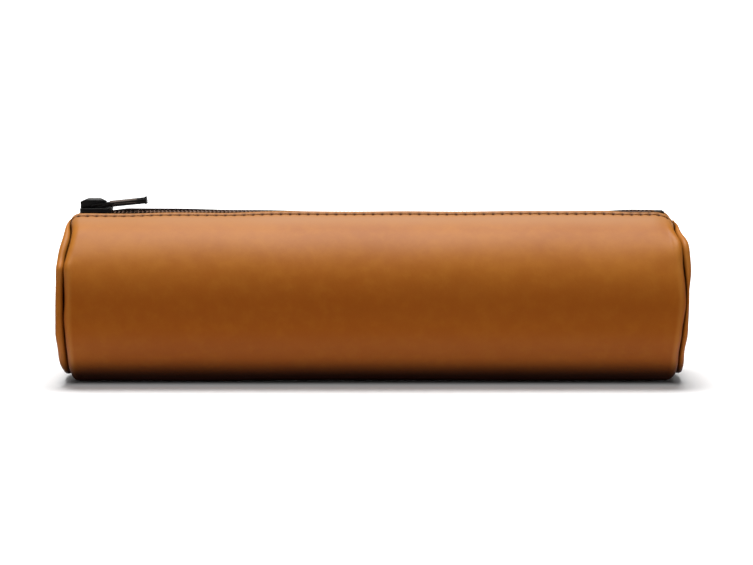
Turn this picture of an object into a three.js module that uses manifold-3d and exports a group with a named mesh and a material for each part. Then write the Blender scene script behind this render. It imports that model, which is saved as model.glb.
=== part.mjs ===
// A round zip-top pencil case: a rolled leather barrel, two turned-in round ends and a coil zip along the top.
// Millimetres, +Z up. X runs along the barrel, -Y is the front, and the origin is on the table under its middle.
import * as THREE from "three";
import { mergeVertices } from "three/addons/utils/BufferGeometryUtils.js";
import Module from "manifold-3d";

// Leather body
const BARREL_LENGTH = 197; // from seam to seam
const BARREL_DIAMETER = 56;
const LEATHER = 1.2; // thickness of the hide
const BASE_FLAT = 10; // width of the strip that settles flat on the table
const FLEX_ANGLE = 20; // degrees from the underside's middle line to each line where the hide bends open
const MOUTH_GAP = 10; // between the two hide edges along the zip
const SEAM_ALLOWANCE = 5; // width of hide turned inside at each end seam
const CAP_SETBACK = 2.6; // how far an end's rim lies inside the barrel's skin
const CAP_BEND = 0.3; // inside radius of the folded rim of an end
const CAP_DOME = 0.4; // how far an end swells at its middle

// Coil zip
const TAPE = 0.6; // thickness of the woven tape
const TAPE_WIDTH = 11; // from a tape's beaded edge to its outer edge
const TAPE_SPLIT = 3.2; // between the two beaded edges when the zip is closed
const TAPE_BEND = 0.9; // inside radius where a tape turns down into the end seam
const COIL_THICKNESS = 1.5;
const COIL_REACH = 3; // from the zip's centre line to the back of a row
const COIL_SPINE = 1.5; // width of a row's unbroken back
const TOOTH_PITCH = 1.3;
const TOOTH_WIDTH = 0.45;
const TOOTH_OVERLAP = 0.7; // how far a tooth reaches past the centre line
const TOOTH_CHAMFER = 0.14;

// Stops at the ends of the zip
const TOP_STOP_LENGTH = 1.7;
const BOTTOM_STOP_LENGTH = 2.6;
const BOTTOM_STOP_WIDTH = 6.6;
const STOP_LEG = 0.4; // thickness of a stop's foot under the tape
const STOP_WEB = 0.35; // wall of a top stop round the beaded edge
const STOP_END_SPACE = 0.4; // between a stop and the bend of the tape

// Slider
const SLIDER_LENGTH = 10.4;
const SLIDER_PLATE = 0.65;
const SLIDER_FLANGE = 0.8;
const SLIDER_SHOULDER = 0.4; // extra half width at the mouth that faces the open zip
const SLIDER_CORNER = 1.4;
const SLIDER_OVERHANG = 0.25; // of the closed slider past the straight run of the tape
const NECK_LENGTH = 3;
const NECK_WIDTH = 1.4;
const NECK_INSET = 0.8; // from the slider's mouth to the neck
const CROWN_LENGTH = 8.4;
const CROWN_WIDTH = 3.2;
const CROWN_HEIGHT = 3.15;
const CROWN_WALL = 0.7;
const CROWN_SKIRT = 0.5; // side walls, slotted for the pin
const CROWN_OFFSET = 0.95; // from the slider's middle to the pin, towards the mouth
const CROWN_FRONT_BEVEL = 2.4;
const CROWN_REAR_BEVEL = 2;
const CROWN_BEVEL_DROP = 1;
const CROWN_SIDE_BEVEL = 0.6;
const SPRING_THICKNESS = 0.3;
const SPRING_WIDTH = 1.4;
const PAWL_REACH = 1.3; // from the puller's pin to the locking pawl

// Puller
const PULLER_LENGTH = 17.55; // from the pin to the tip
const PULLER_THICKNESS = 1.1; // of the loop
const PULLER_BAR = 1.9; // thickness of the bar past the loop
const PULLER_BEVEL = 1.3; // width of the slope along each upper edge of the bar
const PULLER_BEVEL_DROP = 1.25;
const PULLER_WIDTH = 4.8; // at the tip
const PULLER_WAIST = 4; // just past the loop
const PULLER_ARM = 1.1; // width of each arm of the loop
const PULLER_CORNER = 0.8;
const PULLER_TILT = 6; // degrees that it stands up from the zip
const TIP_RIM_LENGTH = 0.8;
const TIP_RIM_HEIGHT = 2.3;
const EYE_LENGTH = 2.2; // of the slot near the tip
const EYE_WIDTH = 2.4;
const EYE_INSET = 0.5; // from the tip's rim to the eye

// Clearances
const SEAM_GAP = 0.3; // between two sewn layers, and across a flex line
const SEAT_GAP = 0.1; // between parts that are pressed or sewn tight
const RUN_GAP = 0.3; // round parts that slide or swing

// Facets
const ARC_STEPS = 4;
const WALL_STEP = 6; // degrees between stations round the barrel
const CAP_SEGMENTS = 44;
const ROUND_SEGMENTS = 12;

// Values worked out from the driving dimensions
const RADIUS = BARREL_DIAMETER / 2;
const HALF_LENGTH = BARREL_LENGTH / 2;
const AXIS_Z = Math.sqrt(RADIUS ** 2 - (BASE_FLAT / 2) ** 2);
const TAPE_DEPTH = LEATHER + SEAM_GAP; // from the barrel's skin to the top of the tape
const END_ROLL = TAPE_DEPTH + TAPE + TAPE_BEND; // outside radius of the barrel's rolled end
const SEAM_RADIUS = RADIUS - END_ROLL;
const ALLOWANCE_RADIUS = SEAM_RADIUS - SEAM_ALLOWANCE;
const TAPE_RADIUS = RADIUS - TAPE_DEPTH;
const TAPE_END = HALF_LENGTH - END_ROLL; // where the straight run of the tape ends

const COIL_BOTTOM = AXIS_Z + TAPE_RADIUS + SEAT_GAP;
const COIL_TOP = COIL_BOTTOM + COIL_THICKNESS;
const CHANNEL_HALF = COIL_REACH + RUN_GAP;
const SLIDER_HALF = CHANNEL_HALF + SLIDER_FLANGE;
const SHOULDER_HALF = SLIDER_HALF + SLIDER_SHOULDER;
const TAPE_LOW = tapeHeight(TAPE_RADIUS - TAPE, SHOULDER_HALF);
const LEG_BOTTOM = TAPE_LOW - SEAT_GAP - STOP_LEG;
const BOTTOM_PLATE_TOP = LEG_BOTTOM - RUN_GAP;
const BOTTOM_PLATE_BOTTOM = BOTTOM_PLATE_TOP - SLIDER_PLATE;
const SLOT_TOP = tapeHeight(TAPE_RADIUS, CHANNEL_HALF) + RUN_GAP;
const PLATE_BOTTOM = COIL_TOP + RUN_GAP;
const PLATE_TOP = PLATE_BOTTOM + SLIDER_PLATE;
const PIN_RADIUS = PULLER_THICKNESS / 2;
const PIN_Z = PLATE_TOP + RUN_GAP / 2 + PIN_RADIUS;

const SLIDER_X = -TAPE_END - SLIDER_OVERHANG + SLIDER_LENGTH / 2;
const NECK_FRONT = SLIDER_X - SLIDER_LENGTH / 2 + NECK_INSET;
const TOP_STOP_X = -TAPE_END + STOP_END_SPACE + TOP_STOP_LENGTH / 2;
const BOTTOM_STOP_X = TAPE_END - STOP_END_SPACE - BOTTOM_STOP_LENGTH / 2;
const COIL_START = TOP_STOP_X + TOP_STOP_LENGTH / 2 + RUN_GAP;
const COIL_END = BOTTOM_STOP_X - BOTTOM_STOP_LENGTH / 2 - RUN_GAP;
const TEETH_START = NECK_FRONT + NECK_LENGTH + RUN_GAP;

const radians = THREE.MathUtils.degToRad;
const wasm = await Module();
wasm.setup();

// Materials
function material(color, roughness, metalness) {
  return new THREE.MeshStandardMaterial({ color, roughness, metalness });
}
const TAN_LEATHER = material(0xb5733a, 0.55, 0);
const BROWN_TAPE = material(0x33231b, 0.9, 0);
const BROWN_COIL = material(0x2b1d17, 0.5, 0);
const BLACK_METAL = material(0x15130f, 0.35, 0.8);
const SPRING_STEEL = material(0x8a8782, 0.3, 1);

// Height of a layer of the given radius at a distance from the zip's centre line
function tapeHeight(radius, offset) {
  return AXIS_Z + Math.sqrt(radius ** 2 - offset ** 2);
}

// Points along an arc, both ends included, as [x, y] pairs
function arc(centreX, centreY, radius, fromDegrees, toDegrees, steps = ARC_STEPS) {
  return Array.from({ length: steps + 1 }, (_, i) => {
    const angle = radians(fromDegrees + ((toDegrees - fromDegrees) * i) / steps);
    return [centreX + radius * Math.cos(angle), centreY + radius * Math.sin(angle)];
  });
}

// Evenly spaced angles in radians, no further apart than the given step in degrees
function stations(from, to, step = WALL_STEP) {
  const count = Math.max(1, Math.ceil(Math.abs(to - from) / radians(step)));
  return Array.from({ length: count + 1 }, (_, i) => from + ((to - from) * i) / count);
}

// Turns a geometry's faces outwards, going by its signed volume
function facingOut(geometry) {
  const p = geometry.getAttribute("position");
  const index = geometry.index.array;
  const a = new THREE.Vector3();
  const b = new THREE.Vector3();
  const c = new THREE.Vector3();
  let volume = 0;
  for (let i = 0; i < index.length; i += 3) {
    a.fromBufferAttribute(p, index[i]);
    b.fromBufferAttribute(p, index[i + 1]);
    c.fromBufferAttribute(p, index[i + 2]);
    volume += a.dot(b.cross(c));
  }
  if (volume < 0) index.reverse();
  return geometry;
}

// Conversions between three.js geometry and solids that can be joined and cut
function solid(geometry) {
  const bare = new THREE.BufferGeometry();
  bare.setAttribute("position", geometry.getAttribute("position"));
  bare.setIndex(geometry.index);
  const merged = mergeVertices(bare);
  const vertProperties = new Float32Array(merged.getAttribute("position").array);
  const triVerts = new Uint32Array(merged.index.array);
  return new wasm.Manifold(new wasm.Mesh({ numProp: 3, vertProperties, triVerts }));
}

function geometryOf(made) {
  const mesh = made.getMesh();
  const geometry = new THREE.BufferGeometry();
  geometry.setAttribute("position", new THREE.BufferAttribute(mesh.vertProperties, 3));
  geometry.setIndex(new THREE.BufferAttribute(mesh.triVerts, 1));
  geometry.computeVertexNormals();
  return geometry;
}

function shapeOf(points) {
  return new THREE.Shape(points.map(([x, y]) => new THREE.Vector2(x, y)));
}

// A plan outline in X and Y raised between two heights
function raised(points, low, high) {
  const geometry = new THREE.ExtrudeGeometry(shapeOf(points), { depth: high - low, bevelEnabled: false });
  return geometry.translate(0, 0, low);
}

// A side outline in X and Z given a width along Y
function widened(points, width) {
  const geometry = new THREE.ExtrudeGeometry(shapeOf(points), { depth: width, bevelEnabled: false });
  return geometry.rotateX(Math.PI / 2).translate(0, width / 2, 0);
}

// An end outline in Y and Z given a length along X
function lengthened(points, length, middle) {
  const geometry = new THREE.ExtrudeGeometry(shapeOf(points), { depth: length, bevelEnabled: false });
  geometry.rotateX(Math.PI / 2).rotateZ(Math.PI / 2);
  return geometry.translate(middle - length / 2, 0, 0);
}

// A closed profile of (x, radius, depth) points swept round the barrel's axis through the given angles.
// The underside settles flat: no point lies lower than its own depth in the hide.
function sweptWall(profile, angles) {
  const count = profile.length;
  const positions = angles.flatMap((angle) =>
    profile.flatMap(({ x, radius, depth }) => [
      x,
      radius * Math.cos(angle),
      Math.max(AXIS_Z + radius * Math.sin(angle), depth),
    ]),
  );
  const index = [];
  for (let s = 0; s < angles.length - 1; s++) {
    for (let i = 0; i < count; i++) {
      const j = (i + 1) % count;
      const near = s * count;
      const far = near + count;
      index.push(near + i, near + j, far + j, near + i, far + j, far + i);
    }
  }
  const outline = profile.map(({ x, radius }) => new THREE.Vector2(x, radius));
  const turned = THREE.ShapeUtils.isClockWise(outline);
  const lastRing = (angles.length - 1) * count;
  for (const face of THREE.ShapeUtils.triangulateShape(outline, [])) {
    const clockwise = THREE.ShapeUtils.isClockWise(face.map((i) => outline[i]));
    const [a, b, c] = clockwise === turned ? face : [...face].reverse();
    index.push(a, c, b, lastRing + a, lastRing + b, lastRing + c);
  }
  const geometry = new THREE.BufferGeometry();
  geometry.setAttribute("position", new THREE.Float32BufferAttribute(positions, 3));
  geometry.setIndex(index);
  facingOut(geometry).computeVertexNormals();
  return geometry;
}

// Lengthwise section of a layer that runs straight along the barrel and rolls inwards at both end seams
function turnedProfile(depth, thickness) {
  const section = (layer) => {
    const bend = END_ROLL - layer;
    const left = arc(-TAPE_END, SEAM_RADIUS, bend, 180, 90);
    const right = arc(TAPE_END, SEAM_RADIUS, bend, 90, 0);
    const ends = HALF_LENGTH - layer;
    const line = [[-ends, ALLOWANCE_RADIUS], ...left, ...right, [ends, ALLOWANCE_RADIUS]];
    return line.map(([x, radius]) => ({ x, radius, depth: layer }));
  };
  return [...section(depth), ...section(depth + thickness).reverse()];
}

const MIDDLE_TOP = Math.PI / 2;
const mirrored = (angles) => angles.map((angle) => Math.PI - angle);

// Leather barrel, in the three zones that move apart when the zip is open
const LEATHER_PROFILE = turnedProfile(0, LEATHER);
const FLEX_LINE = 1.5 * Math.PI - radians(FLEX_ANGLE);
const FLEX_HALF_GAP = SEAM_GAP / 2 / RADIUS;

function barrelBase() {
  const flat = Math.asin(BASE_FLAT / 2 / RADIUS);
  const bottom = 1.5 * Math.PI;
  const front = stations(FLEX_LINE + FLEX_HALF_GAP, bottom - flat);
  const rear = front.map((angle) => 2 * bottom - angle).reverse();
  return sweptWall(LEATHER_PROFILE, [...front, ...rear]);
}

const SIDE_ANGLES = stations(
  MIDDLE_TOP + Math.asin(MOUTH_GAP / 2 / RADIUS),
  FLEX_LINE - FLEX_HALF_GAP,
);

// Round end: a disc whose folded rim turns back inside, beside the barrel's own turned edge
function endCap() {
  const roll = CAP_BEND + LEATHER;
  const rim = RADIUS - CAP_SETBACK - roll;
  const middle = SEAM_GAP + roll;
  const domed = (height) =>
    Array.from({ length: ARC_STEPS + 1 }, (_, i) => {
      const share = i / (ARC_STEPS + 1);
      return [rim * share, height + CAP_DOME * (1 - share ** 2)];
    });
  const profile = [
    ...domed(middle + roll),
    ...arc(rim, middle, roll, 90, -90, 2 * ARC_STEPS),
    [ALLOWANCE_RADIUS, SEAM_GAP],
    [ALLOWANCE_RADIUS, SEAM_GAP + LEATHER],
    ...arc(rim, middle, CAP_BEND, -90, 90),
    ...domed(middle + CAP_BEND).reverse(),
  ];
  const points = profile.map(([radius, height]) => new THREE.Vector2(radius, height)).reverse();
  return new THREE.LatheGeometry(points, CAP_SEGMENTS);
}

// One side's woven tape, under the hide's edge and turned down into both end seams
const TAPE_PROFILE = turnedProfile(TAPE_DEPTH, TAPE);
const TAPE_ANGLES = stations(
  MIDDLE_TOP + Math.asin(TAPE_SPLIT / 2 / TAPE_RADIUS),
  MIDDLE_TOP + Math.asin(TAPE_SPLIT / 2 / TAPE_RADIUS) + TAPE_WIDTH / TAPE_RADIUS,
);

// One row of the coil: an unbroken back with a tooth at every pitch, in step with the other row's gaps
function coilRow(side, firstTooth) {
  const inner = COIL_SPINE - COIL_REACH;
  const points = [[COIL_START, -COIL_REACH], [COIL_END, -COIL_REACH], [COIL_END, inner]];
  const count = Math.floor((COIL_END - TOOTH_WIDTH - firstTooth) / TOOTH_PITCH) + 1;
  const half = TOOTH_WIDTH / 2;
  const shoulder = TOOTH_OVERLAP - TOOTH_CHAMFER;
  for (let i = count - 1; i >= 0; i--) {
    const middle = firstTooth + i * TOOTH_PITCH;
    points.push(
      [middle + half, inner],
      [middle + half, shoulder],
      [middle + half - TOOTH_CHAMFER, TOOTH_OVERLAP],
      [middle - half + TOOTH_CHAMFER, TOOTH_OVERLAP],
      [middle - half, shoulder],
      [middle - half, inner],
    );
  }
  points.push([COIL_START, inner]);
  return raised(points.map(([x, y]) => [x, side * y]), COIL_BOTTOM, COIL_TOP);
}

// A clip folded round one tape's beaded edge
function topStop(side) {
  const edge = TAPE_SPLIT / 2 - SEAT_GAP;
  const inner = edge - STOP_WEB;
  const upper = COIL_BOTTOM;
  const lower = LEG_BOTTOM + STOP_LEG;
  const outline = [
    [inner, LEG_BOTTOM],
    [COIL_REACH, LEG_BOTTOM],
    [COIL_REACH, lower],
    [edge, lower],
    [edge, upper],
    [COIL_REACH, upper],
    [COIL_REACH, COIL_TOP],
    [inner, COIL_TOP],
  ];
  return lengthened(outline.map(([y, z]) => [side * y, z]), TOP_STOP_LENGTH, TOP_STOP_X);
}

// A clip closed over both tapes, joined between their beaded edges
function bottomStop() {
  const half = BOTTOM_STOP_WIDTH / 2;
  const web = TAPE_SPLIT / 2 - SEAT_GAP;
  const lower = LEG_BOTTOM + STOP_LEG;
  const right = [
    [half, LEG_BOTTOM],
    [half, lower],
    [web, lower],
    [web, COIL_BOTTOM],
    [half, COIL_BOTTOM],
    [half, COIL_TOP],
  ];
  const left = right.map(([y, z]) => [-y, z]).reverse();
  return lengthened([...right, ...left], BOTTOM_STOP_LENGTH, BOTTOM_STOP_X);
}

// Slider plan outline, wide at the mouth and narrower at the throat, with rounded corners
function sliderOutline() {
  const front = -SLIDER_LENGTH / 2 + SLIDER_CORNER;
  const rear = SLIDER_LENGTH / 2 - SLIDER_CORNER;
  const shoulder = SHOULDER_HALF - SLIDER_CORNER;
  const throat = SLIDER_HALF - SLIDER_CORNER;
  return [
    ...arc(rear, throat, SLIDER_CORNER, 0, 90),
    ...arc(front, shoulder, SLIDER_CORNER, 90, 180),
    ...arc(front, -shoulder, SLIDER_CORNER, 180, 270),
    ...arc(rear, -throat, SLIDER_CORNER, 270, 360),
  ];
}

// Die-cast slider: two plates, side flanges that guide the coil, a slot for the tapes and the neck that parts them
function sliderBody() {
  const past = SLIDER_LENGTH;
  const mouth = CHANNEL_HALF + SLIDER_SHOULDER;
  const channel = [
    [past, -CHANNEL_HALF],
    [past, CHANNEL_HALF],
    [-past, mouth],
    [-past, -mouth],
  ];
  const slot = [
    [past, -past],
    [past, past],
    [-past, past],
    [-past, -past],
  ];
  const neckBack = -SLIDER_LENGTH / 2 + NECK_INSET + NECK_LENGTH;
  const neckFront = -SLIDER_LENGTH / 2 + NECK_INSET;
  const neckWide = (neckFront * 2 + neckBack) / 3;
  const neck = [
    [neckBack, 0],
    [neckWide, NECK_WIDTH / 2],
    [neckFront, 0],
    [neckWide, -NECK_WIDTH / 2],
  ];
  const pawlSlot = SPRING_THICKNESS / 2 + RUN_GAP;
  const pawlHalf = SPRING_WIDTH / 2 + RUN_GAP;
  const pawl = PAWL_REACH - CROWN_OFFSET;
  const pawlHole = [
    [pawl + pawlSlot, -pawlHalf],
    [pawl + pawlSlot, pawlHalf],
    [pawl - pawlSlot, pawlHalf],
    [pawl - pawlSlot, -pawlHalf],
  ];
  const halfPlate = SLIDER_PLATE / 2;
  const made = solid(raised(sliderOutline(), BOTTOM_PLATE_BOTTOM, PLATE_TOP))
    .subtract(solid(raised(channel, BOTTOM_PLATE_TOP, PLATE_BOTTOM)))
    .subtract(solid(raised(slot, BOTTOM_PLATE_TOP, SLOT_TOP)))
    .subtract(solid(raised(pawlHole, PLATE_BOTTOM - halfPlate, PLATE_TOP + halfPlate)))
    .add(solid(raised(neck, BOTTOM_PLATE_TOP - halfPlate, PLATE_BOTTOM + halfPlate)));
  return geometryOf(made);
}

// Bevelled cover over the puller's pin and the lock spring, with a slot for the pin in each side
function sliderCrown() {
  const half = CROWN_LENGTH / 2;
  const foot = PLATE_TOP + SEAT_GAP;
  const top = PLATE_TOP + CROWN_HEIGHT;
  const outer = [
    [half, foot],
    [half, top - CROWN_BEVEL_DROP],
    [half - CROWN_REAR_BEVEL, top],
    [-half + CROWN_FRONT_BEVEL, top],
    [-half, top - CROWN_BEVEL_DROP],
    [-half, foot],
  ];
  const hollow = half - CROWN_WALL;
  const roof = top - CROWN_WALL;
  const cavity = [
    [-hollow, PLATE_BOTTOM],
    [-hollow, roof - CROWN_BEVEL_DROP],
    [-hollow + CROWN_FRONT_BEVEL, roof],
    [hollow - CROWN_REAR_BEVEL, roof],
    [hollow, roof - CROWN_BEVEL_DROP],
    [hollow, PLATE_BOTTOM],
  ];
  const slotHalf = PIN_RADIUS + RUN_GAP / 2;
  const slotTop = PIN_Z + slotHalf;
  const pinSlot = [
    [-slotHalf, PLATE_BOTTOM],
    [-slotHalf, slotTop],
    [slotHalf, slotTop],
    [slotHalf, PLATE_BOTTOM],
  ];
  const side = CROWN_WIDTH / 2;
  const crossSection = [
    [side, foot],
    [side, top - CROWN_SIDE_BEVEL],
    [side - CROWN_SIDE_BEVEL, top],
    [CROWN_SIDE_BEVEL - side, top],
    [-side, top - CROWN_SIDE_BEVEL],
    [-side, foot],
  ];
  const cover = solid(widened(outer, CROWN_WIDTH))
    .intersect(solid(lengthened(crossSection, CROWN_LENGTH, 0)))
    .subtract(solid(widened(cavity, CROWN_WIDTH - 2 * CROWN_SKIRT)))
    .subtract(solid(widened(pinSlot, 2 * CROWN_WIDTH)));
  return geometryOf(cover);
}

// Leaf spring under the cover: a foot on the plate, a leaf over the pin and a pawl down to the coil
function lockSpring() {
  const leafLow = PIN_Z + PIN_RADIUS + RUN_GAP / 2;
  const leafHigh = leafLow + SPRING_THICKNESS;
  const foot = PLATE_TOP + SEAT_GAP;
  const footBack = -CROWN_LENGTH / 2 + CROWN_WALL + CROWN_FRONT_BEVEL;
  const pawlFront = PAWL_REACH - SPRING_THICKNESS / 2;
  const outline = [
    [footBack, foot],
    [footBack + SPRING_THICKNESS, foot],
    [footBack + SPRING_THICKNESS, leafLow],
    [pawlFront, leafLow],
    [pawlFront, COIL_TOP + SEAT_GAP],
    [pawlFront + SPRING_THICKNESS, COIL_TOP + SEAT_GAP],
    [pawlFront + SPRING_THICKNESS, leafHigh],
    [footBack, leafHigh],
  ];
  return widened(outline, SPRING_WIDTH);
}

// Puller in its own frame: the pin on the Y axis, a loop round the cover, a bevelled bar with an eye and a rimmed tip
function pullerGeometry() {
  const loopInner = CROWN_WIDTH / 2 + RUN_GAP;
  const loopOuter = loopInner + PULLER_ARM;
  const loopEnd = CROWN_LENGTH / 2 + RUN_GAP + PULLER_ARM / 2;
  const bar = PULLER_WIDTH / 2;
  const waist = PULLER_WAIST / 2;
  const neckEnd = loopEnd + PULLER_ARM + loopOuter - waist;
  const corner = PULLER_CORNER;
  const outline = [
    [0, -loopOuter],
    [loopEnd + PULLER_ARM, -loopOuter],
    [neckEnd, -waist],
    ...arc(PULLER_LENGTH - corner, corner - bar, corner, -90, 0),
    ...arc(PULLER_LENGTH - corner, bar - corner, corner, 0, 90),
    [neckEnd, waist],
    [loopEnd + PULLER_ARM, loopOuter],
    [0, loopOuter],
  ];
  const window = [
    [-PULLER_ARM, -loopInner],
    ...arc(loopEnd - corner, corner - loopInner, corner, -90, 0),
    ...arc(loopEnd - corner, loopInner - corner, corner, 0, 90),
    [-PULLER_ARM, loopInner],
  ];
  const eyeMiddle = PULLER_LENGTH - TIP_RIM_LENGTH - EYE_INSET - EYE_LENGTH / 2;
  const eyeRound = Math.min(EYE_LENGTH, EYE_WIDTH) / 2;
  const eyeX = EYE_LENGTH / 2 - eyeRound;
  const eyeY = EYE_WIDTH / 2 - eyeRound;
  const eye = [
    ...arc(eyeMiddle + eyeX, eyeY, eyeRound, 0, 90),
    ...arc(eyeMiddle - eyeX, eyeY, eyeRound, 90, 180),
    ...arc(eyeMiddle - eyeX, -eyeY, eyeRound, 180, 270),
    ...arc(eyeMiddle + eyeX, -eyeY, eyeRound, 270, 360),
  ];
  const barHalf = PULLER_BAR / 2;
  const barShoulder = barHalf - PULLER_BEVEL_DROP;
  const barStart = loopEnd + RUN_GAP;
  const barLength = PULLER_LENGTH - barStart;
  const barSection = [
    [bar, -barHalf],
    [bar, barShoulder],
    [bar - PULLER_BEVEL, barHalf],
    [PULLER_BEVEL - bar, barHalf],
    [-bar, barShoulder],
    [-bar, -barHalf],
  ];
  const barBody = solid(raised(outline, -barHalf, barHalf)).intersect(
    solid(lengthened(barSection, barLength, barStart + barLength / 2)),
  );
  const pin = new THREE.CylinderGeometry(PIN_RADIUS, PIN_RADIUS, 2 * loopOuter, ROUND_SEGMENTS);
  const rimFront = PULLER_LENGTH - TIP_RIM_LENGTH;
  const rimBevel = TIP_RIM_LENGTH / 4;
  const rimHalf = TIP_RIM_HEIGHT / 2;
  const rim = [
    [PULLER_LENGTH, -rimHalf],
    [PULLER_LENGTH, rimHalf],
    [rimFront + rimBevel, rimHalf],
    [rimFront, rimHalf - rimBevel],
    [rimFront, rimBevel - rimHalf],
    [rimFront + rimBevel, -rimHalf],
  ];
  const made = solid(raised(outline, -PIN_RADIUS, PIN_RADIUS))
    .subtract(solid(raised(window, -PULLER_THICKNESS, PULLER_THICKNESS)))
    .add(barBody)
    .subtract(solid(raised(eye, -PULLER_BAR, PULLER_BAR)))
    .add(solid(pin))
    .add(solid(widened(rim, PULLER_WIDTH - 2 * TIP_RIM_LENGTH)));
  return geometryOf(made);
}

// Assembly
const pencilCase = new THREE.Group();

function piece(name, geometry, finish, parent = pencilCase) {
  const mesh = new THREE.Mesh(geometry, finish);
  mesh.name = name;
  parent.add(mesh);
  return mesh;
}

piece("barrel_base_panel", barrelBase(), TAN_LEATHER);
piece("barrel_front_panel", sweptWall(LEATHER_PROFILE, SIDE_ANGLES), TAN_LEATHER);
piece("barrel_rear_panel", sweptWall(LEATHER_PROFILE, mirrored(SIDE_ANGLES)), TAN_LEATHER);

for (const [name, side] of [["left_end_cap", -1], ["right_end_cap", 1]]) {
  const cap = piece(name, endCap(), TAN_LEATHER);
  cap.rotation.z = (-side * Math.PI) / 2;
  cap.position.set(side * HALF_LENGTH, 0, AXIS_Z);
}

piece("front_zip_tape", sweptWall(TAPE_PROFILE, TAPE_ANGLES), BROWN_TAPE);
piece("rear_zip_tape", sweptWall(TAPE_PROFILE, mirrored(TAPE_ANGLES)), BROWN_TAPE);
piece("front_zip_coil", coilRow(1, TEETH_START + TOOTH_WIDTH), BROWN_COIL);
piece("rear_zip_coil", coilRow(-1, TEETH_START + TOOTH_WIDTH + TOOTH_PITCH / 2), BROWN_COIL);
piece("front_top_stop", topStop(-1), BLACK_METAL);
piece("rear_top_stop", topStop(1), BLACK_METAL);
piece("bottom_stop", bottomStop(), BLACK_METAL);

const slider = new THREE.Group();
slider.position.x = SLIDER_X;
pencilCase.add(slider);
piece("slider_body", sliderBody(), BLACK_METAL, slider);

const crown = new THREE.Group();
crown.position.x = -CROWN_OFFSET;
slider.add(crown);
piece("slider_crown", sliderCrown(), BLACK_METAL, crown);
piece("lock_spring", lockSpring(), SPRING_STEEL, crown);

const puller = piece("puller", pullerGeometry(), BLACK_METAL, crown);
puller.position.z = PIN_Z;
puller.rotation.y = -radians(PULLER_TILT);

export default pencilCase;
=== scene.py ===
"""A round pencil case in tan leather, with a coil zip along its top.

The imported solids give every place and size. Lengths in the classes below are in
millimetres and angles in degrees, unless a class says otherwise. The meshes are made
in metres.
"""
import logging
import math
from collections.abc import Callable, Sequence
from dataclasses import dataclass, field
from enum import Enum
from itertools import product
from typing import Union

import bmesh
import bpy
import numpy as np
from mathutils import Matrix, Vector


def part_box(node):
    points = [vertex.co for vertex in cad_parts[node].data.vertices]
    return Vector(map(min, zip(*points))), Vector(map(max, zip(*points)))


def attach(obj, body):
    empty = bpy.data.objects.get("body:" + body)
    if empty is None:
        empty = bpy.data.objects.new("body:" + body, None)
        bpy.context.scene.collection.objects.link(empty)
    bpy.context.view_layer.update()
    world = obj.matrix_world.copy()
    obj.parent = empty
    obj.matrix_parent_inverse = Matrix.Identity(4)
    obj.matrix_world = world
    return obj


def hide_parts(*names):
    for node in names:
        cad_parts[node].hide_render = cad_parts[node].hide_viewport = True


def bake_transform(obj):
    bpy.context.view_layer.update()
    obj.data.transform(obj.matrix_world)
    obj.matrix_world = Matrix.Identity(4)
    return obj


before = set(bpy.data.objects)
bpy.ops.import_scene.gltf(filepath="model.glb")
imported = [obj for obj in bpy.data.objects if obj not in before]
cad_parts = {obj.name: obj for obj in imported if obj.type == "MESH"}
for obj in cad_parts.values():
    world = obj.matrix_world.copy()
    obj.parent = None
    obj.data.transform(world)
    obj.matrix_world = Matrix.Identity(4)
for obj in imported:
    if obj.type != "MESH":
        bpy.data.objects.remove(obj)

MM = 0.001
SLIGHT = 1e-6
# Where the puller hangs, along and above, and how far its bar leans
PULLER_PIN = (-91.5, 57.3)
PULLER_TILT = 6.0
# Sides of a swept thread or filament
RING_SIDES = 7
log = logging.getLogger("pencil_case")

Array = np.ndarray
Material = bpy.types.Material
NodeTree = bpy.types.NodeTree
Piece = bpy.types.Object
Span = tuple[float, float]
Triple = Colour = Mark = tuple[float, float, float]
Feed = Union["Socket", float, int, bool, str, Sequence[float], Material]


class Signed(Enum):
    """A pair with a sign as value; its names go into the names of pieces."""

    @property
    def word(self) -> str:
        """The name in small letters."""
        return self.name.lower()


class Side(Signed):
    """The two long walls; the value is the sign of Y."""

    FRONT = -1
    REAR = 1


class End(Signed):
    """The two ends of the barrel; the value is the sign of X."""

    LEFT = -1
    RIGHT = 1


class Lacquer(Enum):
    """The two colours of the zip's metal pieces."""

    BLACK = "black"
    BROWN = "brown"


# ---------------------------------------------------------------- node trees


def math_node(operation: str, swapped: bool = False) -> Callable[..., "Socket"]:
    """Makes a method that adds one Math node.

    Args:
        operation: Blender's name of the operation.
        swapped: True where the other operand comes first.

    Returns:
        The method.
    """

    def method(self: "Socket", *others: Feed) -> "Socket":
        """Adds the node to the tree of its first operand."""
        feeds = (*others, self) if swapped else (self, *others)
        return self.graph.node("ShaderNodeMath", {"operation": operation}, dict(enumerate(feeds)))

    return method


class Socket:
    """An output of a node that takes part in Python arithmetic."""

    __add__ = __radd__ = math_node("ADD")
    __sub__, __rsub__ = math_node("SUBTRACT"), math_node("SUBTRACT", swapped=True)
    __mul__ = __rmul__ = math_node("MULTIPLY")
    __truediv__ = math_node("DIVIDE")
    __pow__ = math_node("POWER")
    __abs__ = math_node("ABSOLUTE")
    sign, sine, cosine = math_node("SIGN"), math_node("SINE"), math_node("COSINE")
    remainder = math_node("FLOORED_MODULO")

    def __init__(self, graph: "Graph", socket: bpy.types.NodeSocket) -> None:
        """Keeps the tree and the output that it stands for."""
        self.graph = graph
        self.socket = socket


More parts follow.
